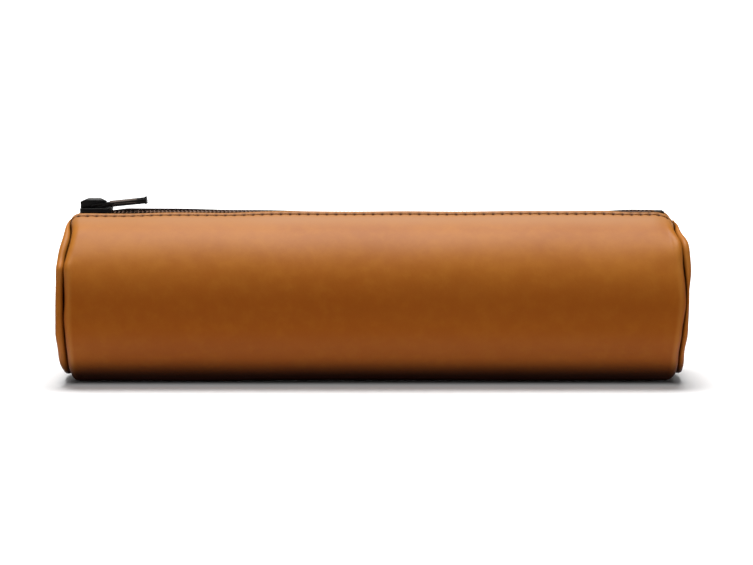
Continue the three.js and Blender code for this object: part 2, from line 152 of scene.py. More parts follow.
class Graph:
    """A node tree, of a material or of Geometry Nodes, filled from Python."""

    def __init__(self, tree: NodeTree) -> None:
        """Starts from an empty tree."""
        self.tree = tree
        tree.nodes.clear()

    def node(
        self,
        kind: str,
        settings: dict[str, object] | None = None,
        inputs: dict[str | int, Feed] | None = None,
        output: str | int = 0,
    ) -> "Socket":
        """Adds a node.

        Args:
            kind: Blender's name of the node type.
            settings: properties, set before the sockets are touched.
            inputs: values or links, by socket name or number.
            output: the output that is wanted.

        Returns:
            The wanted output, or a socket that holds nothing where there is none.
        """
        made = self.tree.nodes.new(kind)
        for key, value in (settings or {}).items():
            setattr(made, key, value)
        for key, value in (inputs or {}).items():
            if isinstance(value, Socket):
                self.tree.links.new(value.socket, made.inputs[key])
            elif made.inputs[key].type == "RGBA" and len(value) == 3:
                made.inputs[key].default_value = (*value, 1.0)
            else:
                made.inputs[key].default_value = value
        return Socket(self, made.outputs[output] if len(made.outputs) else None)

    def place(self) -> Socket:
        """Object coordinates, in metres."""
        return self.node("ShaderNodeTexCoord", output="Object")

    def axes(self, where: Feed) -> list[Socket]:
        """The three parts of a vector."""
        parts = self.node("ShaderNodeSeparateXYZ", {}, {0: where}).socket.node.outputs
        return [Socket(self, part) for part in parts]

    def stored(self, name: str) -> Socket:
        """A number that the mesh keeps on its points."""
        return self.node("ShaderNodeAttribute", {"attribute_name": name}, output="Fac")

    def noise(self, where: Feed, scale: float, detail: float = 3.0, rough: float = 0.55) -> Socket:
        """Soft noise from nought to one."""
        sockets = {"Vector": where, "Scale": scale, "Detail": detail, "Roughness": rough}
        return self.node("ShaderNodeTexNoise", {}, sockets, "Fac")

    def cells(self, where: Feed, scale: float) -> Socket:
        """Soft distance within a cell pattern."""
        sockets = {"Vector": where, "Scale": scale}
        return self.node("ShaderNodeTexVoronoi", {"feature": "SMOOTH_F1"}, sockets, "Distance")

    def ease(self, value: Feed, low: float, high: float) -> Socket:
        """A smooth step from nought to one."""
        sockets = {"Value": value, "From Min": low, "From Max": high}
        return self.node("ShaderNodeMapRange", {"interpolation_type": "SMOOTHSTEP"}, sockets)

    def mix(self, share: Feed, first: Feed, second: Feed) -> Socket:
        """Mixes two colours."""
        return self.node("ShaderNodeMix", {"data_type": "RGBA"}, {0: share, 6: first, 7: second}, 2)

    def bump(self, height: Feed, distance: float, strength: float) -> Socket:
        """Turns a height into a normal; the distance is in metres."""
        sockets = {"Height": height, "Distance": distance, "Strength": strength}
        return self.node("ShaderNodeBump", {}, sockets, "Normal")

    def tube(self, curve: Socket, radius: Feed, inputs: dict[str | int, Feed]) -> Socket:
        """Sweeps a small ring along a curve and closes its ends.

        Args:
            curve: the path.
            radius: of the ring.
            inputs: what else the sweep is given.

        Returns:
            The tube.
        """
        sides = {"Resolution": RING_SIDES, "Radius": radius}
        ring = self.node("GeometryNodeCurvePrimitiveCircle", {"mode": "RADIUS"}, sides)
        sockets = {"Curve": curve, "Profile Curve": ring, "Fill Caps": True, **inputs}
        return self.node("GeometryNodeCurveToMesh", {}, sockets)

    def surface(self, inputs: dict[str | int, Feed]) -> None:
        """Ends a material in one Principled shader."""
        shader = self.node("ShaderNodeBsdfPrincipled", {}, inputs)
        self.node("ShaderNodeOutputMaterial", {}, {"Surface": shader})


def new_material(name: str) -> tuple[Material, Graph]:
    """Makes an empty node material.

    Args:
        name: the finish, in plain words.

    Returns:
        The material and the graph of its tree.
    """
    made = bpy.data.materials.new(name)
    made.use_nodes = True
    return made, Graph(made.node_tree)


# ------------------------------------------------------------------ finishes


@dataclass(frozen=True)
class Hide:
    """Smooth satin cowhide, with a napped inside and raw cut edges; its heights are in metres."""

    tan: Colour = (0.335, 0.114, 0.0105)
    deep: Colour = (0.28, 0.083, 0.0058)
    # Painted shade: below its upper part the hide is darkened towards this colour
    under: Colour = (0.236, 0.053, 0.0028)
    # Painted highlight: the top of the hide beside the zip is paled towards this colour
    lighter: Colour = (0.328, 0.142, 0.046)
    # Painted contact shadow: the lowest few millimetres of the hide are darkened towards this
    # colour
    painted_contact_shadow: Colour = (0.016, 0.0022, 0.0002)
    # Painted shade in the seam folds, along the stitch line and in its holes
    crease: Colour = (0.03, 0.0052, 0.0008)
    # Partly wear, partly painted highlight: paler along the rolled seams and beside the cut edges;
    # also the paler fibres of the flesh side
    pale_tone: Colour = (0.38, 0.145, 0.024)
    nap: Colour = (0.33, 0.15, 0.058)
    # Near-black colour over the cut edges beside the zip
    dark_edge_tone: Colour = (0.011, 0.0055, 0.0035)
    upper_part_at: Span = (0.027, 0.046)
    rested_at: Span = (0.01, 0.021)
    contact_shadow_at: Span = (0.0025, 0.0105)
    top_highlight_at: Span = (0.0505, 0.054)

    def material(self) -> Material:
        """Builds the leather from its grain and its nap, with painted shade and painted highlights.

        Returns:
            The material.
        """
        made, g = new_material("tan_leather")
        where = g.place()
        nap, crease, rub, dye = (g.stored(name) for name in ("nap", "crease", "rub", "dye"))
        cloud = g.noise(where, 22.0, 3.0)
        mottle = g.noise(where, 210.0, 4.0, 0.6)
        fibre = g.noise(where, 1500.0, 3.0, 0.65)
        pebble = g.cells(where, 1150.0)
        pore = g.ease(g.noise(where, 2300.0, 1.0), 0.62, 0.75)
        tone = g.ease(cloud * 0.6 + mottle * 0.4, 0.3, 0.68)
        height = g.axes(where)[2]
        upper_part, mouth = g.ease(height, *self.upper_part_at), g.ease(height, *self.top_highlight_at)
        rested, foot = (1.0 - g.ease(height, *span) for span in (self.rested_at, self.contact_shadow_at))
        grain = g.mix(tone, self.deep, self.tan)
        # Painted shade: darker and deeper in colour below the upper part, where the pale patches
        # also thin out
        grain = g.mix((1.0 - upper_part) * (0.97 - 0.1 * tone), grain, self.under)
        grain = g.mix(g.ease(mottle, 0.45, 0.75) * (0.12 + 0.23 * upper_part), grain, self.tan)
        grain = g.mix(pore * 0.22, grain, self.deep)
        # Wear and painted highlight along the rolled seams and the cut edges
        grain = g.mix(rub * (0.55 + 0.45 * mottle), grain, self.pale_tone)
        # Painted highlight along the top by the zip, and painted contact shadow over the lowest few
        # millimetres
        grain = g.mix(foot * 0.97, g.mix(mouth * 0.85, grain, self.lighter), self.painted_contact_shadow)
        # Painted shade in the seam folds and the stitch holes
        grain = g.mix(crease, grain, self.crease)
        flesh = g.mix(fibre, self.nap, self.pale_tone)
        relief = (1.0 - nap) * (pebble * 0.5 + mottle * 0.35 - pore * 0.25) + nap * fibre * 1.6
        wax = upper_part * 0.3 + rested * (1.0 - foot) * 0.26
        wax = wax * (1.0 - nap) * (1.0 - crease) * (1.0 - dye)
        g.surface({
            "Base Color": g.mix(dye, g.mix(nap, grain, flesh), self.dark_edge_tone),
            "Roughness": 0.56 + nap * 0.32 + (mottle - 0.5) * 0.12 + crease * 0.15,
            "Normal": g.bump(relief, 0.00005, 0.8),
            "Specular IOR Level": 0.035,
            "Coat Weight": wax,
            "Coat Roughness": 0.52,
            "Coat IOR": 1.5,
        })
        return made


@dataclass(frozen=True)
class Thread:
    """Waxed twisted thread, the colour of the hide."""

    light: Colour = (0.31, 0.11, 0.02)
    dark: Colour = (0.12, 0.035, 0.006)
    lay: float = 0.42

    def material(self) -> Material:
        """Builds the twist as slanting dark lines on each stitch.

        Returns:
            The material.
        """
        made, g = new_material("waxed_thread")
        where = g.place()
        x, _, z = g.axes(where)
        twist = ((x + z * 0.8) * (2 * math.pi / (self.lay * MM))).sine() * 0.5 + 0.5
        fuzz = g.noise(where, 4200.0, 2.0)
        g.surface({
            "Base Color": g.mix(g.ease(twist * 0.7 + fuzz * 0.3, 0.1, 0.6), self.dark, self.light),
            "Roughness": 0.5 + fuzz * 0.25,
            "Normal": g.bump(twist, 0.00007, 0.8),
            "Specular IOR Level": 0.1,
        })
        return made


@dataclass(frozen=True)
class Webbing:
    """Dark brown zip tape in a fine herringbone weave; its UV map is in millimetres."""

    warp: Colour = (0.07, 0.036, 0.024)
    weft: Colour = (0.02, 0.0095, 0.0065)
    rib: float = 0.34
    chevron: float = 2.2

    def material(self) -> Material:
        """Builds the weave from slanting ribs that turn back at each chevron.

        Returns:
            The material.
        """
        made, g = new_material("zip_tape_weave")
        along, across, _ = g.axes(g.node("ShaderNodeUVMap", {"uv_map": "weave"}))
        fold = abs(across.remainder(self.chevron) - self.chevron / 2)
        ribs = ((along + fold * 1.3) * (2 * math.pi / self.rib)).sine() * 0.5 + 0.5
        ends = (across * (2 * math.pi / (self.rib * 0.8))).sine() * 0.5 + 0.5
        fuzz = g.noise(g.place(), 3200.0, 3.0)
        lay = ribs * 0.65 + ends * 0.35
        g.surface({
            "Base Color": g.mix(g.ease(lay * 0.75 + fuzz * 0.35, 0.2, 0.85), self.weft, self.warp),
            "Roughness": 0.78 + fuzz * 0.15,
            "Normal": g.bump(lay + fuzz * 0.3, 0.00009, 0.9),
            "Specular IOR Level": 0.15,
            "Sheen Weight": 0.07,
            "Sheen Roughness": 0.5,
        })
        return made


@dataclass(frozen=True)
class Nylon:
    """Dark brown coil monofilament."""

    body: Colour = (0.09, 0.048, 0.03)
    lighter: Colour = (0.2, 0.115, 0.075)

    def material(self) -> Material:
        """Builds the semi-matt filament, a little paler where the slider rubs.

        Returns:
            The material.
        """
        made, g = new_material("coil_nylon")
        where = g.place()
        scuff = g.noise(where, 900.0, 3.0)
        streak = g.noise(where, 120.0, 2.0)
        pale = g.ease(scuff * 0.6 + streak * 0.4, 0.38, 0.68)
        g.surface({
            "Base Color": g.mix(pale, self.body, self.lighter),
            "Roughness": 0.46 + scuff * 0.2,
            "Normal": g.bump(scuff, 0.00002, 0.6),
            "Specular IOR Level": 0.2,
        })
        return made


@dataclass(frozen=True)
class Enamel:
    """Dark lacquer over die-cast metal, with a film of dust.

    The slopes along the puller's bar are painted paler, as a painted highlight. A slope is given
    by the height at which it starts over the bar's middle, how far out that is, and how steeply it
    falls.
    """

    name: str = "black_enamel"
    lacquer: Colour = (0.0032, 0.0029, 0.0027)
    dusty: Colour = (0.0085, 0.0066, 0.0056)
    # Painted highlight: the slopes of the puller's bar are paled towards this colour
    pale_tone: Colour = (0.105, 0.078, 0.064)
    slope: Triple = (0.95, 1.1, 0.9615)
    slope_run: Span = (5.5, 14.3)
    slope_depth: Span = (0.03, 0.12)
    fade: float = 0.3
    strokes: Triple = (60.0, 1900.0, 1900.0)

    def slopes(self, g: Graph) -> Socket:
        """Finds the slopes of the puller's bar.

        Args:
            g: the material's graph.

        Returns:
            One on the slopes and nought elsewhere.
        """
        x, y, z = (part * (1 / MM) for part in g.axes(g.place()))
        lean = math.radians(PULLER_TILT)
        along = (x - PULLER_PIN[0]) * math.cos(lean) + (z - PULLER_PIN[1]) * math.sin(lean)
        height = (z - PULLER_PIN[1]) * math.cos(lean) - (x - PULLER_PIN[0]) * math.sin(lean)
        top, brink, fall = self.slope
        off = abs(height - top + (abs(y) - brink) * fall)
        begun, ended = (g.ease(along, at - self.fade, at + self.fade) for at in self.slope_run)
        return (1 - g.ease(off, *self.slope_depth)) * begun * (1 - ended)

    def material(self) -> Material:
        """Builds the lacquer with faint orange peel, dust, hairline scratches and a painted
        highlight.

        Returns:
            The material.
        """
        made, g = new_material(self.name)
        where = g.place()
        # The slopes of the puller's bar, which get a painted highlight
        lighter = self.slopes(g)
        peel = g.noise(where, 700.0, 2.0)
        dust = g.noise(where, 260.0, 4.0, 0.65)
        drawn = g.node("ShaderNodeMapping", {}, {"Vector": where, "Scale": self.strokes})
        hair = g.ease(g.noise(drawn, 1.0, 2.0), 0.63, 0.72)
        film = g.mix(g.ease(dust, 0.42, 0.7) * 0.7 + hair * 0.3, self.lacquer, self.dusty)
        g.surface({
            # Painted highlight on the slopes of the puller's bar
            "Base Color": g.mix(lighter * (0.6 + dust * 0.6), film, self.pale_tone),
            "Roughness": 0.3 + dust * 0.16 + hair * 0.15,
            "Normal": g.bump(peel * 0.7 - hair * 0.3, 0.000016, 0.6),
            "Specular IOR Level": 0.1,
        })
        return made


@dataclass(frozen=True)
class SpringSteel:
    """Plain rolled spring strip."""

    bright: Colour = (0.42, 0.41, 0.39)
    dull: Colour = (0.2, 0.185, 0.165)
    strokes: Triple = (150.0, 5200.0, 5200.0)

    def material(self) -> Material:
        """Builds the rolled strip with lines along its length.

        Returns:
            The material.
        """
        made, g = new_material("spring_steel")
        where = g.place()
        rolled = g.node("ShaderNodeMapping", {}, {"Vector": where, "Scale": self.strokes})
        lines = g.noise(rolled, 1.0, 3.0)
        g.surface({
            "Base Color": g.mix(lines, self.dull, self.bright),
            "Roughness": 0.26 + lines * 0.2,
            "Metallic": 1.0,
            "Normal": g.bump(lines, 0.00001, 0.5),
        })
        return made


@dataclass(frozen=True)
class PaleTable:
    """White table that fades to a white backdrop far from the case; its spans are in metres."""

    grey: Colour = (0.6, 0.6, 0.6)
    white: Colour = (0.96, 0.96, 0.96)
    fill: float = 0.25
    touched_along: Span = (0.097, 0.105)
    touched_across: Span = (0.007, 0.017)
    far_behind: Span = (0.02, 0.6)
    far_aside: Span = (0.35, 0.9)
    far_in_front: Span = (0.08, 0.35)

    def material(self) -> Material:
        """Builds the table, whose own faint light stops short of where the case touches it.

        Returns:
            The material.
        """
        made, g = new_material("pale_table")
        along, away, _ = g.axes(g.place())
        touched = 1.0 - g.ease(abs(along), *self.touched_along)
        touched = touched * (1.0 - g.ease(abs(away), *self.touched_across))
        far = g.ease(away, *self.far_behind) + g.ease(abs(along), *self.far_aside)
        far = far + g.ease(away * -1.0, *self.far_in_front) * 0.1
        glow = g.mix((1.0 - touched) * self.fill + far, (0.0, 0.0, 0.0), self.white)
        g.surface({
            "Base Color": self.grey,
            "Roughness": 0.9,
            "Specular IOR Level": 0.1,
            "Emission Color": glow,
            "Emission Strength": 1.0,
        })
        return made


# -------------------------------------------------------------------- meshes


def bell(value: Array, centre: float, spread: float) -> Array:
    """A soft bump of height one."""
    return np.exp(-(((value - centre) / spread) ** 2))


def step(value: Array, low: float, high: float) -> Array:
    """A smooth step from nought to one."""
    share = np.clip((value - low) / (high - low), 0.0, 1.0)
    return share * share * (3.0 - 2.0 * share)


def round_marks(rise: Array, marks: Sequence[Mark]) -> Array:
    """Adds up soft marks round a seam.

    Args:
        rise: angles above the front, in degrees; 90 is the top and 180 the rear.
        marks: each mark's angle, spread and size.

    Returns:
        The sum at each angle.
    """
    total = np.zeros_like(rise)
    for centre, spread, size in marks:
        total = total + size * bell((rise - centre + 180.0) % 360.0 - 180.0, 0.0, spread)
    return total


def columns(*parts: Array | float) -> Array:
    """Puts numbers side by side, each stretched to the shape of the largest."""
    return np.stack(np.broadcast_arrays(*parts), -1)


def grid_faces(rows: int, columns: int, closed: bool = False) -> Array:
    """Numbers the quads of a grid of points.

    Args:
        rows: rows of points.
        columns: points in a row.
        closed: True where the last column joins the first.

    Returns:
        One row of four point numbers for each quad.
    """
    across = np.arange(columns if closed else columns - 1)
    down = np.arange(rows - 1)[:, None] * columns
    nearer, further = down + across, down + (across + 1) % columns
    return np.stack([nearer, further, further + columns, nearer + columns], -1).reshape(-1, 4)


def closed_sheet(outer: Array, inner: Array) -> tuple[Array, Array]:
    """Joins two skins along their four sides.

    Args:
        outer: points of the outer skin, rows by columns by three.
        inner: points of the inner skin, in the same order.

    Returns:
        The points and the outward quads.
    """
    rows, columns = outer.shape[:2]
    points = np.concatenate([outer.reshape(-1, 3), inner.reshape(-1, 3)])
    under = rows * columns
    top = grid_faces(rows, columns)
    index = np.arange(under).reshape(rows, columns)
    rim = np.concatenate([index[0, :], index[1:, -1], index[-1, -2::-1], index[-2:0:-1, 0]])
    after = np.roll(rim, -1)
    side = np.stack([after, rim, rim + under, after + under], -1)
    faces = np.concatenate([top, top[:, ::-1] + under, side])
    a, b, c, d = (points[faces[:, k]] for k in range(4))
    volume = np.einsum("ij,ij->", a, np.cross(b, c)) + np.einsum("ij,ij->", a, np.cross(c, d))
    return points, faces if volume > 0 else faces[:, ::-1]


def linked(name: str, data: bpy.types.ID) -> Piece:
    """Makes an object and puts it in the scene.

    Args:
        name: the object's name.
        data: its mesh, light or camera.

    Returns:
        The new object.
    """
    made = bpy.data.objects.new(name, data)
    bpy.context.collection.objects.link(made)
    return made


def add_piece(
    name: str,
    points: Array,
    faces: Sequence[Sequence[int]],
    material: Material,
    stored: dict[str, Array] | None = None,
    weave: Array | None = None,
    crisp: float | None = None,
) -> Piece:
    """Makes a finished mesh object at the origin.

    Args:
        name: the piece's name.
        points: its points, in millimetres.
        faces: point numbers of each face.
        material: its finish.
        stored: numbers kept on the points, by name.
        weave: UV coordinates of the points, where the finish needs them.
        crisp: angle above which an edge stays sharp.

    Returns:
        The new object.
    """
    mesh = bpy.data.meshes.new(name)
    mesh.from_pydata((points * MM).tolist(), [], [list(map(int, f)) for f in faces])
    mesh.shade_smooth()
    if crisp is not None:
        mesh.set_sharp_from_angle(angle=math.radians(crisp))
    for key, values in (stored or {}).items():
        kept = mesh.attributes.new(key, "FLOAT", "POINT")
        kept.data.foreach_set("value", values.astype(np.float32).ravel())
    if weave is not None:
        corners = np.zeros(len(mesh.loops), np.int32)
        mesh.loops.foreach_get("vertex_index", corners)
        cloth = mesh.uv_layers.new(name="weave")
        cloth.data.foreach_set("uv", weave[corners].astype(np.float32).ravel())
    mesh.materials.append(material)
    return linked(name, mesh)


def grown(
    name: str,
    seed_mesh: bpy.types.Mesh,
    tree: NodeTree,
    sizes: dict[str, float | int],
) -> Piece:
    """Runs a Geometry Nodes tree and keeps its result as a plain mesh.

    Args:
        name: the piece's name.
        seed_mesh: the path or point that the tree starts from.
        tree: the tree.
        sizes: values of its named inputs.

    Returns:
        An object with no modifier left on it.
    """
    holder = linked(name + "_path", seed_mesh)
    nodes = holder.modifiers.new("grow", "NODES")
    nodes.node_group = tree
    for item in tree.interface.items_tree:
        if item.item_type == "SOCKET" and item.in_out == "INPUT" and item.name in sizes:
            nodes[item.identifier] = sizes[item.name]
    bpy.context.view_layer.update()
    grown_holder = holder.evaluated_get(bpy.context.evaluated_depsgraph_get())
    mesh = bpy.data.meshes.new_from_object(grown_holder)
    mesh.name = name
    holder.modifiers.remove(nodes)
    bpy.data.objects.remove(holder)
    bpy.data.meshes.remove(seed_mesh)
    return linked(name, mesh)


def new_tree(
    name: str,
    counts: Sequence[str],
    sizes: Sequence[str],
) -> tuple[Graph, dict[str, Socket]]:
    """Starts a Geometry Nodes tree with named inputs.

    Args:
        name: the tree's name.
        counts: names of its whole numbers.
        sizes: names of its other numbers.

    Returns:
        The graph and its inputs by name, the geometry among them.
    """
    inputs = {**dict.fromkeys(counts, "NodeSocketInt"), **dict.fromkeys(sizes, "NodeSocketFloat")}
    tree = bpy.data.node_groups.new(name, "GeometryNodeTree")
    g = Graph(tree)
    tree.interface.new_socket("Geometry", in_out="OUTPUT", socket_type="NodeSocketGeometry")
    tree.interface.new_socket("Geometry", in_out="INPUT", socket_type="NodeSocketGeometry")
    for key, kind in inputs.items():
        tree.interface.new_socket(key, in_out="INPUT", socket_type=kind)
    start = tree.nodes.new("NodeGroupInput")
    return g, {key: Socket(g, start.outputs[key]) for key in ["Geometry", *inputs]}


def end_tree(g: Graph, shape: Socket, material: Material) -> NodeTree:
    """Ends a tree in real, smooth, finished geometry.

    Args:
        g: the graph.
        shape: its geometry.
        material: the finish.

    Returns:
        The tree.
    """
    real = g.node("GeometryNodeRealizeInstances", {}, {"Geometry": shape})
    smooth = g.node("GeometryNodeSetShadeSmooth", {}, {"Geometry": real})
    finished = g.node("GeometryNodeSetMaterial", {}, {"Geometry": smooth, "Material": material})
    g.node("NodeGroupOutput", {}, {"Geometry": finished})
    return g.tree


# ------------------------------------------------------------- sub-assemblies


@dataclass(frozen=True)
class SeamMarks:
    """How a turned seam departs from a perfect ring, all the way round."""

    pinches: tuple[Mark, ...]
    swells: tuple[Mark, ...]
    draws: tuple[Mark, ...]
    sags: tuple[Mark, ...]


LEFT_MARKS = SeamMarks(
    pinches=(
        (25, 6, 1.6), (-9, 7, 0.45), (-58, 12, 0.8), (80, 10, 0.15),
        (146, 10, 1.1), (205, 9, 0.8), (262, 14, 0.5),
    ),
    swells=(
        (90, 28, -2.3), (26, 11, -0.6), (-8, 24, -0.3),
        (-64, 14, -0.6), (146, 11, -0.6), (205, 10, -0.5),
    ),
    draws=((55, 15, 1.2), (126, 16, 0.9), (230, 14, 0.5)),
    sags=((80, 14, 0.2), (104, 14, 0.3)),
)
RIGHT_MARKS = SeamMarks(
    pinches=(
        (43, 11, 1.8), (88, 14, -0.8), (1, 4, 0.5), (-52, 13, 0.8),
        (138, 9, 1.0), (196, 11, 0.6), (255, 12, 0.6),
    ),
    swells=((90, 32, -2.4), (2, 26, -2.1), (-46, 25, -1.2), (138, 11, -0.5), (196, 10, -0.5)),
    draws=((62, 13, 0.9), (8, 26, -1.4), (120, 15, 1.0), (226, 14, 0.4)),
    sags=((76, 16, 1.3), (106, 14, 0.7)),
)

# Slack of the hide: size, pace and lead along the barrel, folds round it and their turn
WAVES = (
    (0.15, 0.041, 1.2, 2, 0.5),
    (0.11, 0.067, -0.7, 3, -1.1),
    (0.07, 0.118, 2.1, 5, 2.3),
    (0.05, 0.19, 0.0, 4, 0.2),
)
# Puckers by a seam: size, folds round the barrel and multiple of the end's phase
PUCKERS = ((0.2, 7, 1), (0.16, 11, 2), (0.1, 17, 1))
PUCKER_PHASE = {End.LEFT: 0.4, End.RIGHT: 2.0}
# Looseness of a round end: size, folds round it and their turn
LOOSE = ((0.1, 5, 1.0), (0.09, 9, 0.3), (0.06, 14, 0.0))
# Swelling of the hide on both sides of its stitches: size, distance from the cut edge, spread
PUFFS = ((0.1, 4.7, 1.4), (0.06, 1.2, 0.7))
# Rise of a cut edge: at the left end, then each change and the places where it starts and ends
LIP_START = {Side.FRONT: 0.0, Side.REAR: 0.2}
LIP_STEPS = {
    Side.FRONT: (
        (0.36, -82, -66), (0.5, -50, -30), (0.12, -5, 18), (-0.38, 72, 84), (-0.6, 92.5, 97.5),
    ),
    Side.REAR: (
        (0.7, -87, -80), (-0.4, -66, -40), (-0.65, -45, -18), (0.45, 76, 86), (-0.3, 93, 97.5),
    ),
}


@dataclass
class Barrel:
    """The hide: a front and a rear wall, over a base strip that rests.

    A form is a depth and its spreads, and a span is where a change starts and ends.
    """

    leather: Material
    radius: float = 28.0
    half_length: float = 98.5
    gauge: float = 1.2
    base_flat: float = 10.0
    mouth: float = 10.0
    flex: float = 20.0
    roll: float = 3.0
    allowance: float = 5.0
    stitch_inset: float = 2.5
    stitch_pitch: float = 3.0
    furrow_form: Span = (0.24, 0.6)
    hole_form: Triple = (0.42, 0.9, 0.5)
    cut_round: Span = (0.4, 0.16)
    grain_depth: float = 0.2
    pucker_fade: float = 5.0
    lip_fade: Span = (6.0, 0.85)
    draw_span: Span = (80.0, 97.0)
    sag_span: Span = (91.0, 100.5)
    rest_blend: float = 0.3
    pace: float = 0.5
    hold: float = 90.0
    opened: float = 20.0
    marks: dict[End, SeamMarks] = field(
        default_factory=lambda: {End.LEFT: LEFT_MARKS, End.RIGHT: RIGHT_MARKS}
    )

    @property
    def axis_z(self) -> float:
        """Height of the barrel's axis over the table."""
        return math.sqrt(self.radius**2 - (self.base_flat / 2) ** 2)

    @property
    def lip_angle(self) -> float:
        """Angle from the top to a cut edge."""
        return math.degrees(math.asin(self.mouth / 2 / self.radius))

    def stations(self) -> Array:
        """Lists the hide's path from one seam allowance to the other.

        Returns:
            Rows of x, radius, normal x, normal radius, path length and how far into the seam.
        """
        straight, low = self.half_length - self.roll, self.radius - self.roll
        x = np.linspace(-straight, straight, round(2 * straight / self.pace) + 1)
        middle = columns(x, self.radius, 0.0, 1.0, x, 0.0)
        turn = np.radians(np.linspace(90, 0, 13)[1:])
        arc = columns(
            straight + self.roll * np.cos(turn),
            low + self.roll * np.sin(turn),
            np.cos(turn),
            np.sin(turn),
            straight + self.roll * (math.pi / 2 - turn),
            1.0 - turn / (math.pi / 2),
        )
        drop = np.linspace(0, self.allowance, 5)[1:]
        path = straight + self.roll * math.pi / 2 + drop
        flange = columns(self.half_length, low - drop, 1.0, 0.0, path, 1.0)
        right = np.concatenate([arc, flange])
        return np.concatenate([right[::-1] * [-1, 1, -1, 1, -1, 1], middle, right])

    def half(self, end: End) -> Array:
        """Stations of one half, the middle one included."""
        rows = self.stations()
        return rows[rows[:, 0] * end.value >= -SLIGHT]

    def station_at(self, path: Array) -> Array:
        """Reads stations at given path lengths."""
        known = self.stations()
        return np.stack([np.interp(path, known[:, 4], known[:, k]) for k in range(6)], -1)

    def marked(self, kind: str, x: Array, angle: Array) -> Array:
        """Adds up one kind of seam mark at an angle, by the end that is nearer."""
        left, right = (round_marks(180.0 - angle, getattr(self.marks[end], kind)) for end in End)
        return np.where(x < 0, left, right)

    def pinch(self, x: Array, angle: Array) -> Array:
        """How far the seam is drawn up."""
        return self.marked("pinches", x, angle)

    def draw(self, x: Array, path: Array, angle: Array) -> Array:
        """How far the hide is pulled towards the middle near the seam at each end."""
        inwards = np.where(x < 0, 1.0, -1.0)
        return inwards * self.marked("draws", x, angle) * step(np.abs(path), *self.draw_span)

    def sag(self, x: Array, path: Array, angle: Array) -> Array:
        """How far the hide drops beside the mouth before each seam."""
        return self.marked("sags", x, angle) * step(np.abs(path), *self.sag_span)

    def slack(self, x: Array, angle: Array) -> Array:
        """Soft waves of a hide that isn't stretched over anything.

        Args:
            x: place along the barrel.
            angle: angles round it.

        Returns:
            The rise along the normal.
        """
        a = np.radians(angle)
        waves = pucker = 0.0
        for size, pace, lead, folds, turn in WAVES:
            waves = waves + size * np.sin(pace * x + lead) * np.cos(folds * a + turn)
        for end, phase in PUCKER_PHASE.items():
            near = np.exp(-np.clip(self.half_length - end.value * x, 0, None) / self.pucker_fade)
            gathers = (size * np.cos(folds * a + times * phase) for size, folds, times in PUCKERS)
            pucker = pucker + near * sum(gathers)
        return waves + pucker

    def lip(self, x: Array, lap: Array, side: Side) -> Array:
        """How far a cut edge stands up beside the zip.

        Args:
            x: place along the barrel.
            lap: distance from the cut edge, along the hide.
            side: which wall.

        Returns:
            The rise along the normal.
        """
        changes = (size * step(x, low, high) for size, low, high in LIP_STEPS[side])
        rise = sum(changes, LIP_START[side])
        rise = rise + 0.05 * np.sin(0.16 * x) * (1 - step(np.abs(x), 60, 90))
        inside, past = (bell(lap, 0.0, spread) for spread in self.lip_fade)
        return rise * np.where(lap > 0, inside, past)

    def furrow(self, path: Array, lap: Array) -> tuple[Array, Array]:
        """The stitch line pressed into a wall.

        Args:
            path: distance along the hide from its middle.
            lap: distance from the cut edge.

        Returns:
            The depth of the line and of its thread holes.
        """
        gap = (path + self.stitch_pitch / 2) % self.stitch_pitch - self.stitch_pitch / 2
        deep, wide = self.furrow_form
        hole, across, along = self.hole_form
        line = deep * bell(lap, self.stitch_inset, wide)
        return line, hole * bell(lap, self.stitch_inset, across) * bell(gap, 0.0, along)

    def skin(
        self,
        rows: Array,
        angle: Array,
        depth: float,
        side: Side | None = None,
    ) -> Array:
        """Points of the hide at a depth below its outer surface.

        Args:
            rows: stations.
            angle: angles round the axis, 90 at the top and 180 at the front.
            depth: how far below the grain side.
            side: the wall that they belong to, or None for the base.

        Returns:
            Points, stations by angles by three.
        """
        x, r, nx, nr, path, sewn = (rows[:, k : k + 1] for k in range(6))
        turn = np.radians(angle)[None, :]
        out = self.slack(x, angle[None, :]) * (1 - 0.7 * sewn) - depth
        if side is not None:
            lap = self.lap(angle, side)[None, :]
            out = out + self.lip(x, lap, side) * (1 - sewn)
            if depth < self.grain_depth:
                line, hole = self.furrow(path, lap)
                puff = sum(size * bell(lap, place, spread) for size, place, spread in PUFFS)
                cut, fade = self.cut_round
                out = out - (line + hole - puff) * (1 - 0.8 * sewn)
                out = out - cut * np.exp(-np.clip(lap, 0, None) / fade)
        drop = self.sag(x, path, angle[None, :])
        if side is not None:
            drop = drop * step(lap, -1.6, 0.0)
        pinch = self.pinch(x, angle[None, :]) * sewn
        across = x + nx * out + self.draw(x, path, angle[None, :])
        radial = r + nr * out + 1.5 * pinch - drop
        height = self.axis_z + radial * np.sin(turn)
        low = max(depth, 0.0) + 0.02
        height = low + 0.5 * (height - low + np.sqrt((height - low) ** 2 + self.rest_blend**2))
        return columns(across, radial * np.cos(turn), height)

    def lap(self, angle: Array, side: Side) -> Array:
        """Distance along the hide from a wall's cut edge."""
        edge = 90.0 - side.value * self.lip_angle
        return np.radians((edge - angle) * side.value) * self.radius

    def wall_angles(self, side: Side) -> Array:
        """Angles of a wall's rows, close together beside the stitches.

        Args:
            side: which wall.

        Returns:
            The angles, from the cut edge to the base.
        """
        whole = math.radians(180.0 - self.flex - self.lip_angle) * self.radius
        fine = [0.0, 0.07, 0.18, 0.34, 0.55, *np.arange(0.8, 6.0, 0.22)]
        lap = np.concatenate([fine, np.linspace(6.2, whole, 44)])
        return 90.0 - side.value * (self.lip_angle + np.degrees(lap / self.radius))

